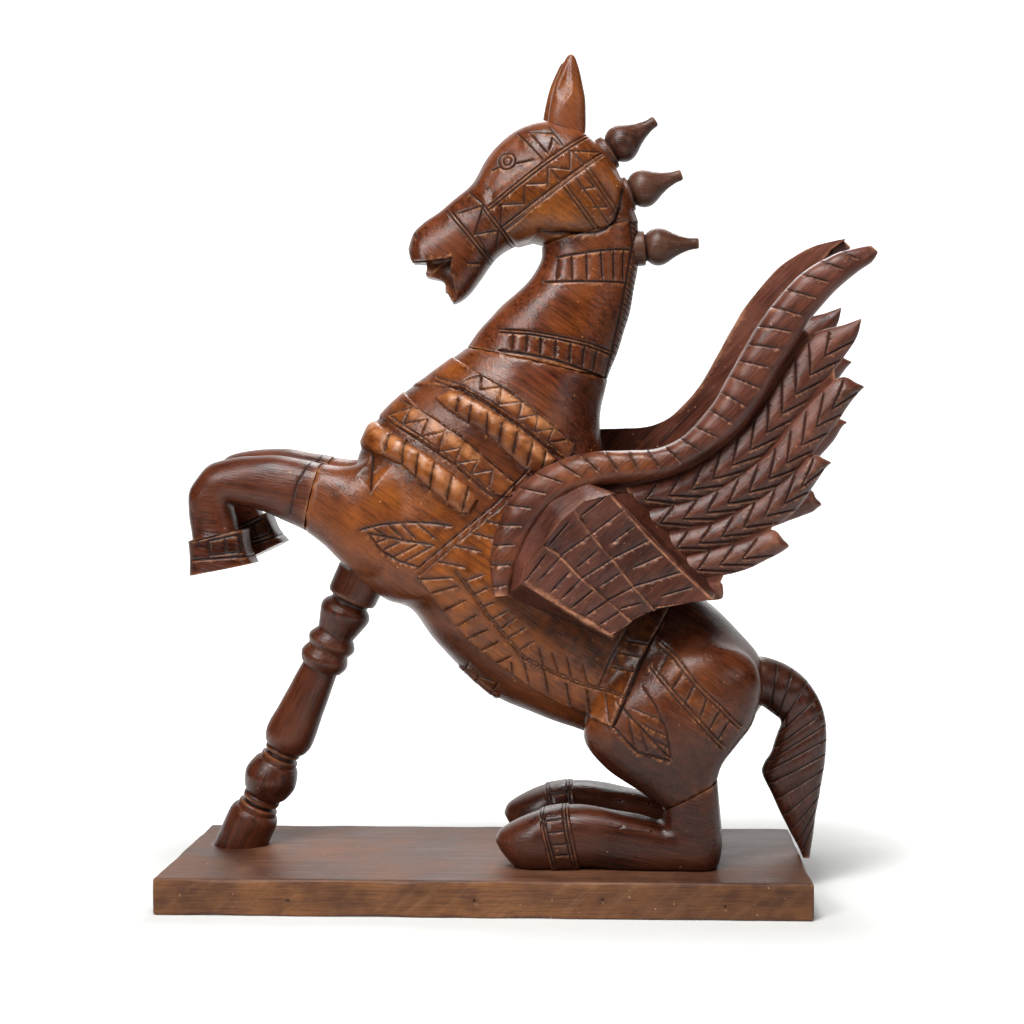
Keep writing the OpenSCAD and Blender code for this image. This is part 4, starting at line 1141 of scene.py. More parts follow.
# Neck
neck_y = -30.0
cheek_y = -30.0
jaw_line = [622, 184, 621, 197, 619, 207, 614, 220, 606, 228, 596, 232, 580, 232,
            563, 230, 552, 231, 541, 229]
upper_collar = [[556, 256, 600, 250, 632, 247], [543, 281, 585, 281, 628, 281]]
upper_collar_bars = [[558, 256, 556, 280], [571, 254, 572, 280], [586, 252, 587, 280], [601, 250, 603, 280],
                     [614, 249, 615, 280], [624, 248, 624, 280]]
lower_collar_top = [499, 330, 532, 333, 559, 338, 587, 344, 611, 352]
lower_collar_foot = [498, 350, 526, 354, 556, 360, 585, 370, 603, 376]
lower_collar_bars = [[513, 334, 512, 351], [527, 335, 526, 353], [541, 337, 540, 356], [556, 340, 555, 359],
                     [571, 343, 570, 364], [585, 346, 583, 368], [597, 350, 594, 372]]
mane_y = -12.0
mane_line = [629, 214, 633, 244, 627, 281, 621, 311, 612, 352, 603, 385]
mane_nick = np.array([8.0, -7.0])
mane_nicks = 30
neck_gold = [[570, 310, 26, 0.35]]
# Painted shade under the jaw and towards the neck's foot: x and y in the photograph, reach and strength
neck_painted_shade = [[570, 236, 14, 0.9], [620, 320, 12, 0.5], [595, 365, 14, 0.4]]
upper_collar_cut = (1.1, 1.2)
upper_bar_cut = (1.0, 1.0, 0.7)
lower_collar_twin = (2.4, 0.9, 1.1)
lower_collar_cut = (1.3, 1.4)
lower_bar_cut = (1.1, 1.1, 0.8)
mane_cut = (1.0, 1.3)
mane_nick_cut = (0.8, 1.0)
# The jaw's crease is cut wide and dark as a painted shadow under the jaw
jaw_shadow_cut = (1.8, 1.4)


def neck_carving():
    """Two collars of flutes, the nicked strip of the mane, and the jaw's crease, widened and darkened as a
    painted shadow under the jaw.
    """
    marks = Carving()
    marks.cut(drawn_all(upper_collar, neck_y), *upper_collar_cut)
    marks.cut(drawn_all(upper_collar_bars, neck_y), *upper_bar_cut)
    marks.twin([drawn(lower_collar_top, neck_y)], *lower_collar_twin)
    marks.cut([drawn(lower_collar_foot, neck_y)], *lower_collar_cut)
    marks.cut(drawn_all(lower_collar_bars, neck_y), *lower_bar_cut)
    mane = drawn(mane_line, mane_y)
    marks.cut([mane], *mane_cut)
    nick_starts = along(mane, np.linspace(0, len(mane) - 1, mane_nicks))
    marks.cut([[start, start + mane_nick] for start in nick_starts], *mane_nick_cut)
    marks.cut([drawn(jaw_line, cheek_y)], *jaw_shadow_cut)
    marks.gold(drawn_spots(neck_gold, neck_y))
    # Painted shade under the jaw and at the neck's foot
    marks.shade_and_stain(drawn_spots(neck_painted_shade, neck_y))
    return marks


def make_neck():
    """The neck block between trunk and head."""
    place_piece("neck", [carved(loft(neck_stations), neck_carving(), seed=12)], body_wood)


# Head
muzzle_y = -22.0
jowl = [503, 229, 562, 184, 603, 152, 614, 170] + jaw_line + [527, 238, 515, 243]
eye_socket = [519, 133, 546, 163, 489, 207, 474, 187, 488, 160, 500, 142]
eye = [506, 160]
# Radius of each ring of the eye, and the points that make it round
eye_rings = [[6.2, 20], [3.0, 14]]
eye_corners = [[490, 169, 499, 165], [514, 163, 533, 160]]
brow_lines = [[517, 131, 546, 163], [528, 130, 549, 155], [550, 126, 565, 147], [528, 130, 553, 132],
              [549, 152, 553, 137, 561, 146]]
strap_top = [587, 133, 546, 163, 488, 208]
strap_low = [603, 152, 562, 184, 501, 229]
strap_steps = [[599, 150, 570, 151, 570, 170, 550, 168], [548, 168, 548, 188], [548, 184, 527, 185],
               [525, 187, 524, 204, 501, 205], [572, 152, 584, 164], [551, 170, 561, 182],
               [501, 205, 500, 224]]
nose_bands = [[447, 209, 492, 263], [482, 206, 513, 245]]
nose_zigzag = [[469, 192, 484, 206], [457, 213, 484, 206, 475, 235, 499, 231, 496, 248], [478, 236, 490, 257]]
cheek_bands = [[564, 186, 599, 230], [586, 169, 618, 214]]
cheek_lines = [[576, 180, 608, 222], [581, 190, 594, 188, 586, 180], [592, 207, 606, 206, 597, 196]]
nostril = [[413, 231, 415, 237]]
mouth_lines = [[467, 263, 479, 263]]
tongue_edge = [430, 276, 439, 267, 444, 262, 452, 257]
head_gold = [[560, 215, 26, 1.0], [590, 170, 26, 0.6], [530, 200, 24, 0.5]]
jowl_rise = (3.2, 7.0, 0.55)
eye_socket_rise = (-1.8, 8.0)
eye_cut = (0.7, 0.9)
brow_cut = (0.9, 0.9)
bridle_twin = (2.6, 0.8, 0.9)
bridle_cut = (0.8, 0.8)
nostril_cut = (1.3, 1.6)
mouth_cut = (0.8, 0.7)
tongue_wear = 1.0
# Reach of the tools that cut the head to the neck and open its mouth: along the joint, below it, to a side
joint_tool_l = 160.0
joint_tool_h = 90.0
tool_half = 80.0


def head_carving():
    """Bridle straps, brow, eye and muzzle lines."""
    marks = Carving()
    marks.field(drawn(jowl, cheek_y), *jowl_rise)
    # The jaw's crease, wide and dark as a painted shadow under the jaw
    marks.cut([drawn(jaw_line, cheek_y)], *jaw_shadow_cut)
    marks.field(drawn(eye_socket, cheek_y), *eye_socket_rise)
    centre = drawn(eye, cheek_y)[0]
    marks.cut([ring_line(centre, radius, points) for radius, points in eye_rings], *eye_cut)
    marks.cut(drawn_all(eye_corners + brow_lines, cheek_y), *brow_cut)
    marks.twin(drawn_all([strap_top, strap_low] + cheek_bands, cheek_y), *bridle_twin)
    marks.twin(drawn_all(nose_bands, muzzle_y), *bridle_twin)
    marks.cut(drawn_all(strap_steps + cheek_lines, cheek_y), *bridle_cut)
    marks.cut(drawn_all(nose_zigzag, muzzle_y), *bridle_cut)
    marks.cut(drawn_all(nostril, muzzle_y), *nostril_cut)
    marks.cut(drawn_all(mouth_lines, muzzle_y), *mouth_cut)
    marks.wear_and_highlight([drawn(tongue_edge, -tongue_t / 2)], tongue_wear)
    marks.gold(drawn_spots(head_gold, cheek_y))
    return marks


def make_head():
    """The head with its jaw cut to the neck's plane and its mouth open at both sides of the tongue."""
    ax, az, bx, bz = head_joint[:4]
    way = np.array([bx - ax, bz - az]) / math.hypot(bx - ax, bz - az)
    below = joint_tool_h * np.array([way[1], -way[0]])
    start = np.array([ax, az])
    end = start + joint_tool_l * way
    under_joint = [start, end, end + below, start + below]
    cutters = [prism(outline, outline, tool_half, -tool_half) for outline in (under_joint, lip_cut)]
    for near, far in ((tool_half, tongue_t / 2), (-tongue_t / 2, -tool_half)):
        cutters.append(prism(mouth_side, mouth_side, near, far))
    skin = cut_by(loft(head_stations), cutters)
    place_piece("head", [carved(skin, head_carving(), seed=13)], head_wood)


# Ears
ear_y = -ear_spread - ear_t / 2
ear_hollow = [569, 57, 557, 82, 552, 92, 563, 106, 573, 93, 574, 80]
ear_hollow_rise = (-1.6, 5.0)
# Centre from the ear's seat, reach and strength
ear_gold = (np.array([2.0, 30.0]), 16, 0.5)


def make_ears():
    """Two pointed ears, each with a shallow faceted hollow."""
    stations = np.array(ear_outline) * [ear_w, ear_h, ear_w, ear_h, ear_t, 1]
    marks = Carving()
    marks.field(drawn(ear_hollow, ear_y) - [ear_x, ear_seat_z], *ear_hollow_rise)
    marks.gold([ear_gold])
    part = carved(loft(stations, small_edge), marks, seed=14)
    place_piece("ear_left", [part], head_wood, (ear_x, -ear_spread, ear_seat_z))
    place_piece("ear_right", [mirrored_part(part)], head_wood,
                (ear_x - right_ear_forward, ear_spread, ear_seat_z))


# Mane finials
collar_r = 13.0
collar_t = 9.0
bulb_r = 13.8
finial_end_r = 4.0


def finial_profile():
    """Distance from the seat and radius: a drum collar, a pear-shaped bulb and a slim cut-off end."""
    c, b, e, t, rest = collar_r, bulb_r, finial_end_r, collar_t, finial_l - collar_t
    return [[0, c * 0.96], [t * 0.1, c], [t * 0.84, c], [t * 0.94, c * 0.96], [t, c * 0.78],
            [t + rest * 0.02, c * 0.74], [t + rest * 0.06, b * 0.81], [t + rest * 0.15, b * 0.96],
            [t + rest * 0.26, b], [t + rest * 0.38, b * 0.9], [t + rest * 0.54, b * 0.64],
            [t + rest * 0.69, e * 1.55], [t + rest * 0.85, e * 1.1], [t + rest * 0.97, e],
            [finial_l, e * 0.8]]


def placed(mesh, start, way):
    """A skin made about Z, with its Z axis turned to the way and its origin put at the start."""
    turn = np.array(Vector((0, 0, 1)).rotation_difference(Vector(way)).to_matrix())
    return mesh[0] @ turn.T + np.asarray(start, float), mesh[1]


def make_finials():
    """Three turned finials along the crest, each leaning back."""
    nodes = ("mane_finial_upper", "mane_finial_middle", "mane_finial_lower")
    for node, (x, z, angle) in zip(nodes, finial_seats):
        way = np.array([math.cos(math.radians(angle)), 0, math.sin(math.radians(angle))])
        skin = placed(turned(finial_profile(), finial_edge), np.array([x, 0, z]) - finial_sink * way, way)
        place_piece(node, [plain(skin, seed=15, wobble=0.1)], finial_wood)


# Support post
foot_r = 19.0
ball_r = 20.0
vase_r = 18.4
ring_r = 18.2
post_head_r = 19.0


def post_profile():
    """Distance from the plank, in hundredths of the length, and radius: foot, ball, vase, rings, head."""
    f, b, v, r, h = foot_r, ball_r, vase_r, ring_r, post_head_r
    hundredths = [
        [-6, f], [6.1, f], [10.6, f * 0.98], [12.6, f * 0.88], [12.9, f * 0.8], [14.7, f * 0.78],
        [15.1, f * 0.6], [15.9, f * 0.58], [16.2, f * 0.72], [17.8, f * 0.74], [18.1, f * 0.69],
        [20.2, b * 0.85], [24.6, b], [29, b * 0.88], [30.6, b * 0.77], [30.9, b * 0.71], [32.6, b * 0.7],
        [33, b * 0.56], [33.9, b * 0.55], [34.2, b * 0.66], [35.1, b * 0.68], [35.4, b * 0.64],
        [36.8, v * 0.88], [40.8, v], [49.1, v * 0.91], [57, v * 0.83],
        [65.4, v * 0.75], [66, r * 0.87], [68.9, r], [71.7, r * 0.87], [72.2, r * 0.86], [74.8, r],
        [77.2, r * 0.85], [78.1, r * 0.78], [81.6, h * 0.87], [85.5, h], [87.7, h * 0.92], [89.3, h * 0.74],
        [90.8, h * 0.84], [91.7, h * 0.98], [100, h]]
    return [[share * post_l / 100, radius] for share, radius in hundredths]


def make_post():
    """The leaning turned post, its foot cut level with the plank."""
    points, faces = placed(turned(post_profile()), post_foot, post_aim - post_foot)
    points[:, 2] = np.maximum(points[:, 2], 0)
    place_piece("support_post", [plain((points, faces), seed=16)], turned_wood)


# Forelegs
leg_half = 20.0
foreleg_y = -fore_spread - leg_half
hoof_box = [[208, 541, 238, 535, 241, 552, 211, 555, 208, 541], [225, 538, 226, 553]]
hoof_groove = [[192, 541, 246, 528], [190, 560, 250, 556]]
leg_seams = [[308, 461, 297, 485, 289, 515]]
seam_cut = (0.8, 0.6)
hoof_box_cut = (0.9, 0.9)
hoof_groove_cut = (1.0, 1.1)


def about_knee(points, angle):
    """Side-plane points turned about the knee by an angle in degrees."""
    turn = math.radians(angle)
    matrix = np.array([[math.cos(turn), -math.sin(turn)], [math.sin(turn), math.cos(turn)]])
    return (points - knee_pivot) @ matrix.T + knee_pivot


def folded(stations, angle, first):
    """Stations turned about the knee from the first one on."""
    rows = np.array(stations, float)
    for columns in ([0, 1], [2, 3]):
        rows[first:, columns] = about_knee(rows[first:, columns], angle)
    return rows


def make_forelegs():
    """Raised forelegs: a bent leg and a squared hoof with carved boxes."""
    for node, side, fold, lift in (("foreleg_left", -1, 0.0, 0.0),
                                   ("foreleg_right", 1, right_fold, right_foreleg_raise)):
        leg_marks = Carving()
        leg_marks.cut(drawn_all(leg_seams, foreleg_y), *seam_cut)
        hoof_marks = Carving()
        for hoof_lines, tool in ((hoof_box, hoof_box_cut), (hoof_groove, hoof_groove_cut)):
            hoof_marks.cut([about_knee(line, fold) for line in drawn_all(hoof_lines, foreleg_y)], *tool)
        leg = carved(loft(folded(foreleg_stations, fold, knee_station)), leg_marks, seed=17 + side)
        hoof = loft(folded(hoof_stations, fold, 0), small_edge)
        hoof = carved(hoof, hoof_marks, seed=19 + side, wobble=0.2)
        place_piece(node, [leg, hoof], leg_wood, (0, side * fore_spread, lift))


# Hind legs
hind_leg_y = -hind_spread - leg_half
hoof_ring = [[541, 814, 546, 832, 555, 867], [563, 810, 567, 835, 574, 867]]
hoof_squares = [[545, 823, 565, 820], [548, 833, 568, 831], [551, 845, 570, 843], [553, 855, 572, 854]]
hoof_cuff = [537, 812, 567, 807, 573, 835, 580, 870, 551, 872, 542, 835]
nail_holes = [[620, 828, 621, 828], [651, 832, 652, 832]]
# Painted shade on the hind legs, deepest under the thigh: x and y in the photograph, reach and strength
hind_leg_painted_shade = [[690, 830, 40, 0.6], [600, 860, 40, 0.6], [525, 850, 22, 0.4]]
hoof_cuff_rise = (1.8, 1.4)
hoof_ring_twin = (2.2, 0.8, 0.9)
hoof_square_cut = (0.8, 0.8)
nail_cut = (1.4, 1.4)


def make_hind_legs():
    """Kneeling lower legs: hock, shin and hoof, flat where they lie on the plank."""
    marks = Carving()
    marks.field(drawn(hoof_cuff, hind_leg_y), *hoof_cuff_rise)
    marks.twin(drawn_all(hoof_ring, hind_leg_y), *hoof_ring_twin)
    marks.cut(drawn_all(hoof_squares, hind_leg_y), *hoof_square_cut)
    marks.cut(drawn_all(nail_holes, hind_leg_y), *nail_cut)
    marks.shade_and_stain(drawn_spots(hind_leg_painted_shade, hind_leg_y))
    points, faces, finish = carved(loft(hind_leg_stations), marks, seed=21)
    points[:, 2] = np.maximum(points[:, 2], 0)
    part = (points, faces, finish)
    place_piece("hind_leg_left", [part], leg_wood, (0, -hind_spread, 0))
    place_piece("hind_leg_right", [mirrored_part(part)], leg_wood, (0, hind_spread, 0))


# Pieces cut into along their length
def across(rows, step, share):
    """Point a share of the way from one edge to the other, at a step along a rib, feather or tail."""
    row = along(rows, [step])[0]
    return row[:2] + (row[2:4] - row[:2]) * share


def run_of(rows, count):
    """Steps along a rib, feather or tail and the distance run at each, along its middle."""
    steps = np.linspace(0, len(rows) - 1, count)
    middle = along(rows, steps)
    centre = (middle[:, :2] + middle[:, 2:4]) / 2
    return steps, np.concatenate([[0], np.cumsum(np.linalg.norm(np.diff(centre, axis=0), axis=1))])


# Tail: its rings start and stop short of its ends, and lean more and more over a first stretch; points by
# which distances along it are found
tail_ring_gap = 10.2
tail_ring_start = 7.0
tail_ring_stop = 6.0
tail_ring_slant = 0.6
tail_slant_run = 60.0
tail_steps = 200
tail_y = -13.0
tail_facet = [776, 712, 790, 710, 788, 724, 781, 759, 770, 778, 757, 771, 773, 742]
tail_ring_cut = (0.7, 0.8, 0.5)
tail_facet_rise = (-4.0, 9.0)
# How far the tail's root is let into the rump
tail_root_sink = 5.0


def make_tail():
    """The tail with slanted rings cut all round it."""
    marks = Carving()
    steps, run = run_of(tail_stations, tail_steps)
    for distance in np.arange(tail_ring_start, run[-1] - tail_ring_stop, tail_ring_gap):
        step = np.interp(distance, run, steps)
        slant = tail_ring_slant * min(1.0, distance / tail_slant_run)
        ends = [across(tail_stations, step - slant, 0.0), across(tail_stations, step + slant, 1.0)]
        marks.cut([ends], *tail_ring_cut)
    marks.field(drawn(tail_facet, tail_y), *tail_facet_rise)
    root = np.array(tail_stations[0], float)
    root[[0, 2]] -= tail_root_sink
    skin = loft([root.tolist()] + tail_stations)
    place_piece("tail", [carved(skin, marks, seed=22)], tail_wood)


# Wings
panel_y = -wing_seat - panel_t
# The panel's rim towards the rib: how far its corners reach from top to foot or past it, and their fall
rim_reach = np.array([0.8, 0.95, 1.2, 1.35, 1.5, 0.15])
rim_drop = np.array([11.5, 11.5, 11.5, 11.5, 11.5, 1.0])
# How worn the edge along the rim is, over what breadth it is less worn, and how much painted shade the rim gets
# where it runs in under the rib
rim_wear = 0.2
rim_breadth = 4.0
rim_shade = 0.35
panel_ridges = [[610, 495, 649, 539, 681, 571, 713, 601], [574, 510, 590, 534, 612, 559, 633, 587, 656, 612],
                [540, 544, 558, 555, 581, 579, 607, 601, 631, 622], [527, 583, 553, 601, 581, 620, 613, 638]]
panel_cross = [[525, 582, 546, 554], [539, 581, 563, 554, 590, 535, 623, 510],
               [562, 599, 581, 579, 612, 559, 649, 540], [586, 616, 607, 601, 633, 587, 681, 572],
               [601, 624, 619, 612]]
panel_dashes = [[582, 515, 606, 496], [610, 544, 634, 526], [633, 568, 662, 555], [662, 596, 693, 587],
                [549, 545, 569, 522], [578, 567, 599, 549], [601, 586, 621, 572], [620, 609, 641, 603],
                [551, 592, 571, 570], [573, 607, 593, 590]]
# A darker patch over the panel's middle: x and y in the photograph, reach and strength
panel_darkening = [[620, 545, 46, 0.7]]
panel_cut = (0.8, 1.1, 0.4)
# Fall of each strip between the panel's ridges, and half width of the wear along them and along the last one
panel_drop = 3.2
ridge_wear = 0.9
last_ridge_wear = 2.2
# The panel's sides get painted shade as they turn away from -y: how squarely a face still looks out where that
# sets in, over what stretch it grows, and its strength
panel_side_turn = 0.7
panel_side_stretch = 0.3
panel_side_shade = 0.9
# Rings of the rib: distance apart, from its ends, how far they reach across it and how many steps they lean
rib_ring_gap = 14.5
rib_ring_start = 6.0
rib_ring_stop = 8.0
rib_ring_share = 0.74
rib_ring_lean = 0.12
rib_ring_cut = (0.75, 0.9, 0.7)
rib_squareness = 2.6
rib_gold = [[565, 468, 20, 0.6], [625, 455, 26, 0.8], [505, 560, 16, 0.4]]
# How far the rib's inner edge swells at each of its stations, towards the panel and below the tip
rib_swell = [0, 1, 3, 5, 7, 8, 8, 6, 3, 1, 0, 0, 0, 0, 0, 0, 0, 2, 4, 3, 0]
# Thickness of a feather at its last two stations, as a share, and its squareness, which gives it a ridge
feather_end = [0.55, 0.15]
feather_squareness = 1.45
# Chevrons along a feather: the first one, their distance apart, how far their arms reach along it, where they
# meet across it and where their arms end
chevron_start = 8.0
chevron_gap = 16.5
chevron_upper_reach = 14.0
chevron_lower_reach = 24.0
chevron_middle = 0.6
chevron_upper_end = 0.1
chevron_lower_end = 0.96
chevron_cut = (0.9, 1.4)
# Points of rib and feathers by which distances along them are found, and of the plate's edge along the rib
wing_steps = 120
plate_steps = 90
# The wing's blocks start a lap inside its plate
block_y = plate_lap - wing_plate_t


def make_rib(seed):
    """The ringed leading rib: a tapering round bar with rings cut across it."""
    rows = np.array(rib_stations, float)
    inward = rows[:, 2:] - rows[:, :2]
    rows[:, 2:] += np.array(rib_swell)[:, None] * inward / np.linalg.norm(inward, axis=1, keepdims=True)
    stations = [[*row, rib_t / 2 * taper, rib_squareness] for row, taper in zip(rows, rib_taper)]
    marks = Carving()
    steps, run = run_of(rib_stations, wing_steps)
    for distance in np.arange(rib_ring_start, run[-1] - rib_ring_stop, rib_ring_gap):
        step = np.interp(distance, run, steps)
        ends = [across(rib_stations, step, 0.0), across(rib_stations, step + rib_ring_lean, rib_ring_share)]
        marks.cut([ends], *rib_ring_cut)
    marks.gold(drawn_spots(rib_gold, -wing_seat - rib_t))
    return shifted_part(carved(loft(stations), marks, seed, edge=wing_carved_edge), (0, -rib_t / 2, 0))


def make_feather(rows, seed):
    """One feather: a blade with a low middle ridge and herringbone cuts that point to the root."""
    tapers = [1.0] * (len(rows) - len(feather_end)) + feather_end
    stations = [[*row, feather_t / 2 * taper, feather_squareness] for row, taper in zip(rows, tapers)]
    marks = Carving()
    steps, run = run_of(rows, wing_steps)
    for distance in np.arange(chevron_start, run[-1] - chevron_lower_reach, chevron_gap):
        reaches = distance + np.array([0, chevron_upper_reach, chevron_lower_reach])
        root, upper, lower = np.interp(reaches, run, steps)
        meet = across(rows, root, chevron_middle)
        marks.cut([[meet, across(rows, upper, chevron_upper_end)],
                   [meet, across(rows, lower, chevron_lower_end)]], *chevron_cut)
    feather = carved(loft(stations, feather_edge), marks, seed, one_sided=True, edge=wing_carved_edge)
    return shifted_part(feather, (0, block_y, 0))


def make_panel(seed):
    """The shoulder panel: a flat-topped block scooped between its ridges and scored across them."""
    marks = Carving()
    ridges = drawn_all(panel_ridges, panel_y)
    for high, low in zip(ridges[:-1], ridges[1:]):
        marks.shingle(low, high, panel_drop)
    marks.wear_and_highlight(ridges[:-1], ridge_wear)
    marks.wear_and_highlight(ridges[-1:], last_ridge_wear)
    marks.cut(drawn_all(panel_cross + panel_dashes, panel_y), *panel_cut)
    marks.shade_and_stain(drawn_spots(panel_darkening, panel_y))
    block = divided(prism(panel_foot, panel_top, block_y, -panel_t), plain_edge)
    points, faces, finish = carved(block, marks, seed, one_sided=True, rounded=False, wobble=0.5,
                                   edge=wing_carved_edge)
    # Painted shade on the panel's sides, growing as they turn away from -y
    sloped = np.clip((panel_side_turn + normals_of(points, faces)[:, 1]) / panel_side_stretch, 0, 1)
    finish[:, 3] = np.maximum(finish[:, 3], panel_side_shade * sloped)
    from_rim = line_distance(points[:, [0, 2]], np.array(panel_top, float)[:len(rim_reach)])
    finish[:, 1] *= np.clip(from_rim / rim_breadth, rim_wear, 1)
    return points, faces, finish


def make_rim(seed):
    """The panel's rim: a strip that slopes from the edge of its top down to the rib and runs in under it."""
    high, foot = np.array(panel_top, float)[:len(rim_reach)], np.array(panel_foot, float)[:len(rim_reach)]
    low = high + rim_reach[:, None] * (foot - high)
    top_y, base_y = np.full(len(high), -panel_t), np.full(len(high), block_y)
    corners = ((high, top_y), (low, rim_drop - panel_t), (low, base_y), (high, base_y))
    rings = np.stack([np.insert(flat, 1, y, axis=1) for flat, y in corners], axis=1)
    strip = divided(closed_rings(rings), plain_edge)
    points, faces, finish = carved(strip, Carving(), seed, one_sided=True, rounded=False, wobble=0.5)
    finish[:, 1] *= rim_wear
    # Painted shade over the rim, which runs in under the rib
    finish[:, 3] = np.maximum(finish[:, 3], rim_shade)
    return points, faces, finish


def make_plate(seed):
    """The wing's back plate, cut to the outline of its rib, whose tip covers it, and of its feathers."""
    rib_edge = along([row[:2] for row in rib_stations], np.linspace(0, len(rib_stations) - 1, plate_steps))
    outline = rib_edge.tolist() + plate_feather_edge + plate_lower_edge
    plate = divided(prism(outline, outline, 0, -wing_plate_t), plate_edge)
    return carved(plate, Carving(), seed, rounded=False, wobble=0.4)


def make_wings():
    """Two wings on the flanks; the right one is set higher and has longer lower feathers."""
    for node, side in (("wing_left", -1), ("wing_right", 1)):
        parts = [make_plate(31), make_rib(32), make_panel(33), make_rim(30)]
        for i, rows in enumerate(feather_stations):
            extra = np.array(right_feather_extra[i] if side > 0 else (0, 0))
            shares = np.minimum(1, np.arange(len(rows)) / max(1, len(rows) - 3))
            parts.append(make_feather(np.array(rows, float) + shares[:, None] * np.tile(extra, 2), 34 + i))
        if side > 0:
            parts = [mirrored_part(part) for part in parts]
        shift = np.array([0, side * wing_seat, 0]) + (right_wing_shift if side > 0 else 0)
        place_piece(node, parts, wing_wood, shift)


# Plank
plank_pinholes = [[287, 901, 288, 901], [474, 901, 475, 901], [602, 900, 603, 900], [725, 907, 726, 907]]
# Blotches of darker stain on the plank's front: x and y in the photograph, reach and strength
plank_dark_blotches = [[190, 900, 26, 0.5], [330, 905, 18, 0.35], [215, 885, 12, 0.5], [420, 888, 20, 0.3],
               [540, 885, 16, 0.35], [620, 900, 20, 0.3], [690, 890, 34, 0.5], [775, 895, 34, 0.55]]
pinhole_cut = (1.5, 1.5)
# The rounding of its edges, how unevenly they are worn and over what length
plank_round = 2.6
plank_uneven = 0.5
plank_uneven_length = 60.0
# Mesh of the plank: width of its cells, and places near an edge as shares of the rounding
plank_cell = 6
plank_edge_places = np.array([0, 0.25, 0.5, 0.8, 1.2])
# Faces that look forwards or back are sawn: gain and start of that finish over how squarely they do
sawn_gain = 1.6
sawn_start = 0.6


def make_plank():
    """The plank: a box whose edges are rounded and worn unevenly, with pinholes in its front."""
    half = (plank_high - plank_low) / 2
    counts = np.maximum(2, (2 * half / plank_cell).astype(int))
    sides = []
    for axis in range(3):
        u, v = [i for i in range(3) if i != axis]
        for way in (-1, 1):
            grid_u, grid_v = np.meshgrid(plank_places(counts[u], half[u]), plank_places(counts[v], half[v]),
                                         indexing="ij")
            side = np.empty(grid_u.shape + (3,))
            side[..., axis], side[..., u], side[..., v] = way * half[axis], grid_u, grid_v
            sides.append(grid_faces(side, way if axis != 1 else -way))
    points, faces = welded(*joined(sides))
    radius = plank_round * (1 + plank_uneven * uneven(points, 1.0, plank_uneven_length, 41))[:, None]
    core = np.clip(points, -(half - radius), half - radius)
    offset = points - core
    length = np.linalg.norm(offset, axis=1, keepdims=True)
    points = np.where(length > 1e-6, core + radius * offset / np.maximum(length, 1e-6), points)
    points = points + [0, 0, -half[2]]
    marks = Carving()
    front_y = plank_low[1] - figure_back
    marks.cut(drawn_all(plank_pinholes, front_y), *pinhole_cut)
    marks.shade_and_stain(drawn_spots(plank_dark_blotches, front_y))
    points, faces, finish = carved((points, faces), marks, seed=42, rounded=False, wobble=0.12)
    finish[:, 2] = np.clip(np.abs(normals_of(points, faces)[:, 1]) * sawn_gain - sawn_start, 0, 1)
    points = np.clip(points, [-half[0], -half[1], -plank_t], [half[0], half[1], 0])
    place_piece("base_plank", [(points, faces, finish)], plank_wood, (0, -figure_back, 0))


def plank_places(count, half):
    """Places across a side of the plank, closer together near its two edges."""
    inner = np.linspace(-half + plank_round * 2, half - plank_round * 2, count)
    edge = plank_round * plank_edge_places
    return np.concatenate([-half + edge, inner, (half - edge)[::-1]])


def grid_faces(grid, way):
    """Triangles over a grid of points, facing along or against the grid's axis."""
    rows, columns = grid.shape[:2]
    i, j = np.meshgrid(np.arange(rows - 1), np.arange(columns - 1), indexing="ij")
    a = (i * columns + j).ravel()
    b, c, d = a + columns, a + 1, a + columns + 1
    faces = np.concatenate([np.stack([a, b, c], 1), np.stack([c, b, d], 1)])
    return grid.reshape(-1, 3), faces if way > 0 else faces[:, ::-1]


def welded(points, faces):
    """The mesh with points that lie together made one."""
    _, first, number = np.unique(np.round(points, 3), axis=0, return_index=True, return_inverse=True)
    return points[first], number.ravel()[faces]


# Hidden joinery keeps its solids: bare birch dowels and plain steel screws
def birch_wood():
    """Bare birch, planed: pale yellow-brown with faint fibres 1.5 mm wide and 30 mm long, and no polish."""
    material, tree, shader, where = new_material("bare_birch")
    mapped = add_node(tree, "Mapping", {"Vector": where, "Scale": (30 * MM, 1.5 * MM, 1.5 * MM)},
                      vector_type="TEXTURE")
    fibres = add_node(tree, "TexNoise", {"Vector": mapped.outputs[0], "Scale": 1.0, "Detail": 3.0}).outputs[0]
    wood = add_node(tree, "Mix", {0: fibres, 6: linear("#b8925f"), 7: linear("#d6b787")}, data_type="RGBA")
    tree.links.new(wood.outputs[2], shader.inputs["Base Color"])
    shader.inputs["Roughness"].default_value = 0.65
    return material


def screw_steel():
    """Bright wood-screw steel, drawn and rolled: grey with fine mottling 1 mm across and a soft shine."""
    material, tree, shader, where = new_material("rolled_screw_steel")
    mottle = add_node(tree, "TexNoise", {"Vector": where, "Scale": 1 / MM, "Detail": 2.0}).outputs[0]
    steel = add_node(tree, "Mix", {0: mottle, 6: linear("#8a8a88"), 7: linear("#b4b4b0")}, data_type="RGBA")
    tree.links.new(steel.outputs[2], shader.inputs["Base Color"])
    rough = add_node(tree, "MapRange", {0: mottle, 1: 0.3, 2: 0.7, 3: 0.28, 4: 0.45}).outputs[0]
    tree.links.new(rough, shader.inputs["Roughness"])
    shader.inputs["Metallic"].default_value = 1.0
    return material


def finish_joinery():
    """Gives the dowels and screws their own finish."""
    birch, steel = birch_wood(), screw_steel()
    for node in ("head_dowel", "neck_dowels", "foreleg_dowels", "hind_leg_dowels", "wing_dowels",
                 "base_screws"):
        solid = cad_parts[node]
        solid.data.materials.clear()
        solid.data.materials.append(steel if node == "base_screws" else birch)


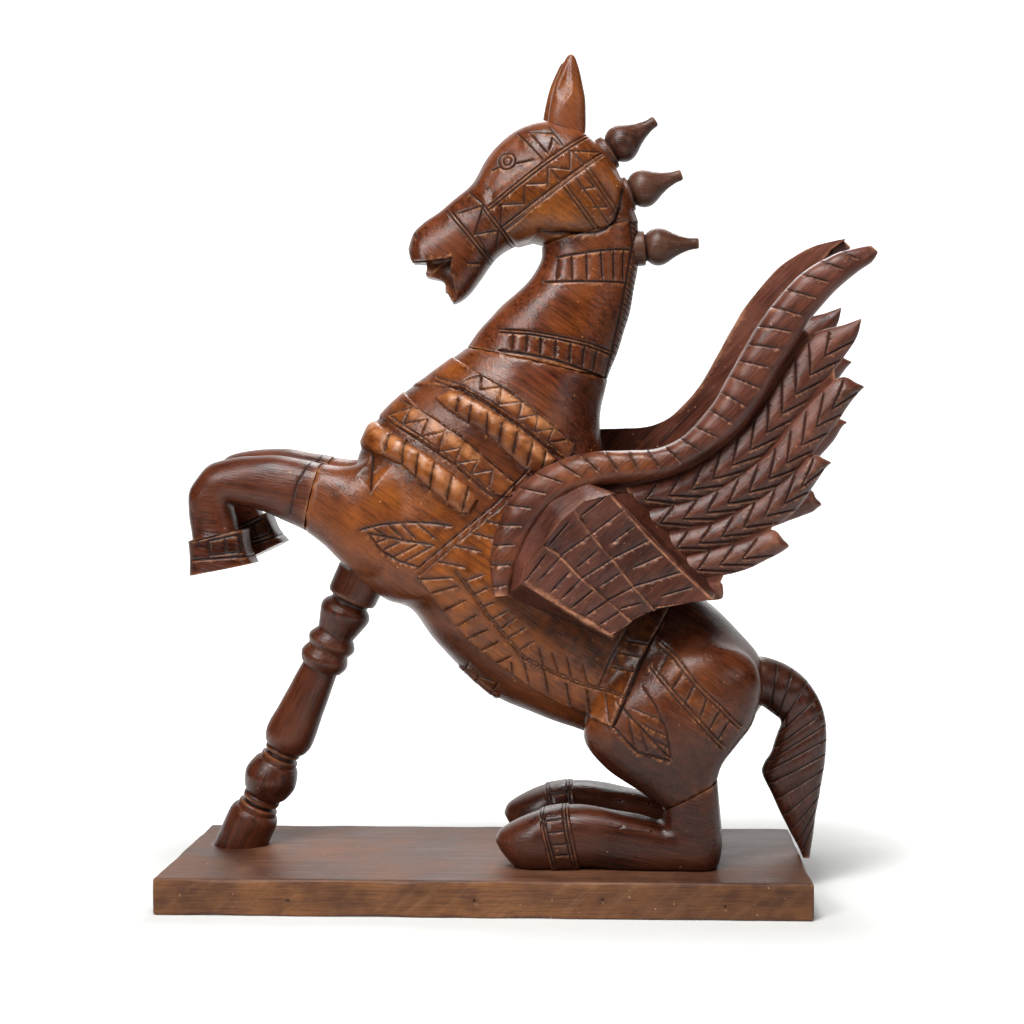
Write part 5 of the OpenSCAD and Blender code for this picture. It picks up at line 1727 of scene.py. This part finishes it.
# Studio: the floor runs back and curves up into a backdrop, in metres; points along its bend and across it, and
# the width in mm of its paper's mottling
sweep_front = -0.75
sweep_back = 1.3
sweep_bend = 0.7
sweep_top = 3.0
sweep_half = 2.6
sweep_bend_steps = 25
sweep_steps = 9
paper_mottle = 40
# Share of white that the sweep adds where it is seen: little beside the plank, whose shadow falls there, and
# nearly all past a reach from it
glow_near = 0.1
glow_far = 0.95
glow_reach = 0.26


def seen_ray(tree):
    """One for camera, glossy and transmission rays, which see white surroundings, and nought for the rest."""
    path = add_node(tree, "LightPath")
    seen = path.outputs["Is Camera Ray"]
    for ray in ("Is Glossy Ray", "Is Transmission Ray"):
        seen = add_node(tree, "Math", {0: seen, 1: path.outputs[ray]}, operation="MAXIMUM").outputs[0]
    return seen


def make_sweep():
    """The pale paper sweep, faintly mottled: a floor, a quarter circle and a wall, carried along x."""
    bend = np.linspace(0, math.pi / 2, sweep_bend_steps)
    y = np.concatenate([[sweep_front], sweep_back + sweep_bend * np.sin(bend), [sweep_back + sweep_bend]])
    z = np.concatenate([[0], sweep_bend * (1 - np.cos(bend)), [sweep_top]])
    x = np.linspace(-sweep_half, sweep_half, sweep_steps)
    grid = np.stack([np.broadcast_to(x[:, None], (len(x), len(y))), np.broadcast_to(y, (len(x), len(y))),
                     np.broadcast_to(z, (len(x), len(z)))], axis=2)
    data = blender_mesh("paper_sweep", *grid_faces(grid, 1))
    data.polygons.foreach_set("use_smooth", np.ones(len(data.polygons), bool))
    material, tree, shader, where = new_material("white_background_paper")
    mottle = 1 / (paper_mottle * MM)
    tooth = add_node(tree, "TexNoise", {"Vector": where, "Scale": mottle, "Detail": 3.0}).outputs[0]
    paper = add_node(tree, "Mix", {0: tooth, 6: linear("#c9c9c7"), 7: linear("#cfcfcd")}, data_type="RGBA")
    tree.links.new(paper.outputs[2], shader.inputs["Base Color"])
    shader.inputs["Roughness"].default_value = 0.9
    shader.inputs["Specular IOR Level"].default_value = 0.0
    place = add_node(tree, "VectorMath", {0: where}, operation="ABSOLUTE").outputs[0]
    plank_corner = tuple(plank_high * MM * [1, 1, 0])
    beyond = add_node(tree, "VectorMath", {0: place, 1: plank_corner}, operation="SUBTRACT")
    beyond = add_node(tree, "VectorMath", {0: beyond.outputs[0], 1: (0, 0, 0)}, operation="MAXIMUM")
    away = add_node(tree, "VectorMath", {0: beyond.outputs[0]}, operation="LENGTH").outputs["Value"]
    glow = add_node(tree, "MapRange", {0: away, 1: 0.0, 2: glow_reach, 3: glow_near, 4: glow_far},
                    interpolation_type="SMOOTHSTEP").outputs[0]
    seen_glow = add_node(tree, "Math", {0: seen_ray(tree), 1: glow}, operation="MULTIPLY").outputs[0]
    tree.links.new(seen_glow, shader.inputs["Emission Strength"])
    shader.inputs["Emission Color"].default_value = (1, 1, 1, 1)
    data.materials.append(material)
    sweep = add_object("paper_sweep", data)


def add_softbox(name, place, aim, size, watts):
    """A square area lamp at a place, turned to its aim, in metres."""
    lamp = bpy.data.lights.new(name, "AREA")
    lamp.shape = "SQUARE"
    lamp.size = size
    lamp.energy = watts
    box = add_object(name, lamp)
    box.location = place
    box.rotation_euler = (Vector(aim) - Vector(place)).to_track_quat("-Z", "Y").to_euler()


# Strength of the dim light from all round
room_light = 0.022
# Where the softboxes look, and each one's name, place, size and watts
softbox_aim = (0.0, 0.0, 0.3)
softboxes = [["top_softbox", (-0.1, -0.75, 1.65), 0.65, 31], ["front_softbox", (-0.85, -1.45, 1.2), 0.65, 24],
             ["right_softbox", (1.5, -1.3, 1.0), 0.7, 5], ["back_softbox", (0.1, 1.1, 1.3), 0.7, 11]]


def make_studio():
    """A dim room, white where the camera looks past the sweep, two strong softboxes and two weak ones."""
    world = bpy.data.worlds.new("studio")
    world.use_nodes = True
    tree = world.node_tree
    background = tree.nodes["Background"]
    background.inputs["Color"].default_value = (1, 1, 1, 1)
    camera_ray = add_node(tree, "LightPath").outputs["Is Camera Ray"]
    room = add_node(tree, "MapRange", {0: camera_ray, 1: 0.0, 2: 1.0, 3: room_light, 4: 1.0}).outputs[0]
    tree.links.new(room, background.inputs["Strength"])
    bpy.context.scene.world = world
    for name, place, size, watts in softboxes:
        add_softbox(name, place, softbox_aim, size, watts)


def make_camera():
    """The photograph's camera: its fitted place and turn, and a lens from its focal length in pixels."""
    right, up, forward = camera_axes()
    data = bpy.data.cameras.new("camera")
    data.sensor_width = sensor_mm
    data.lens = focal_px / picture_px * sensor_mm
    data.clip_end = camera_far
    camera = add_object("camera", data)
    turn = Matrix(np.stack([right, up, -forward], axis=1).tolist()).to_4x4()
    camera.matrix_world = Matrix.Translation(Vector(camera_place * MM)) @ turn
    bpy.context.scene.camera = camera


bpy.context.scene.view_settings.view_transform = "Standard"
make_camera()
make_torso()
make_neck()
make_head()
make_ears()
make_finials()
make_post()
make_forelegs()
make_hind_legs()
make_tail()
make_wings()
make_plank()
finish_joinery()
make_sweep()
make_studio()
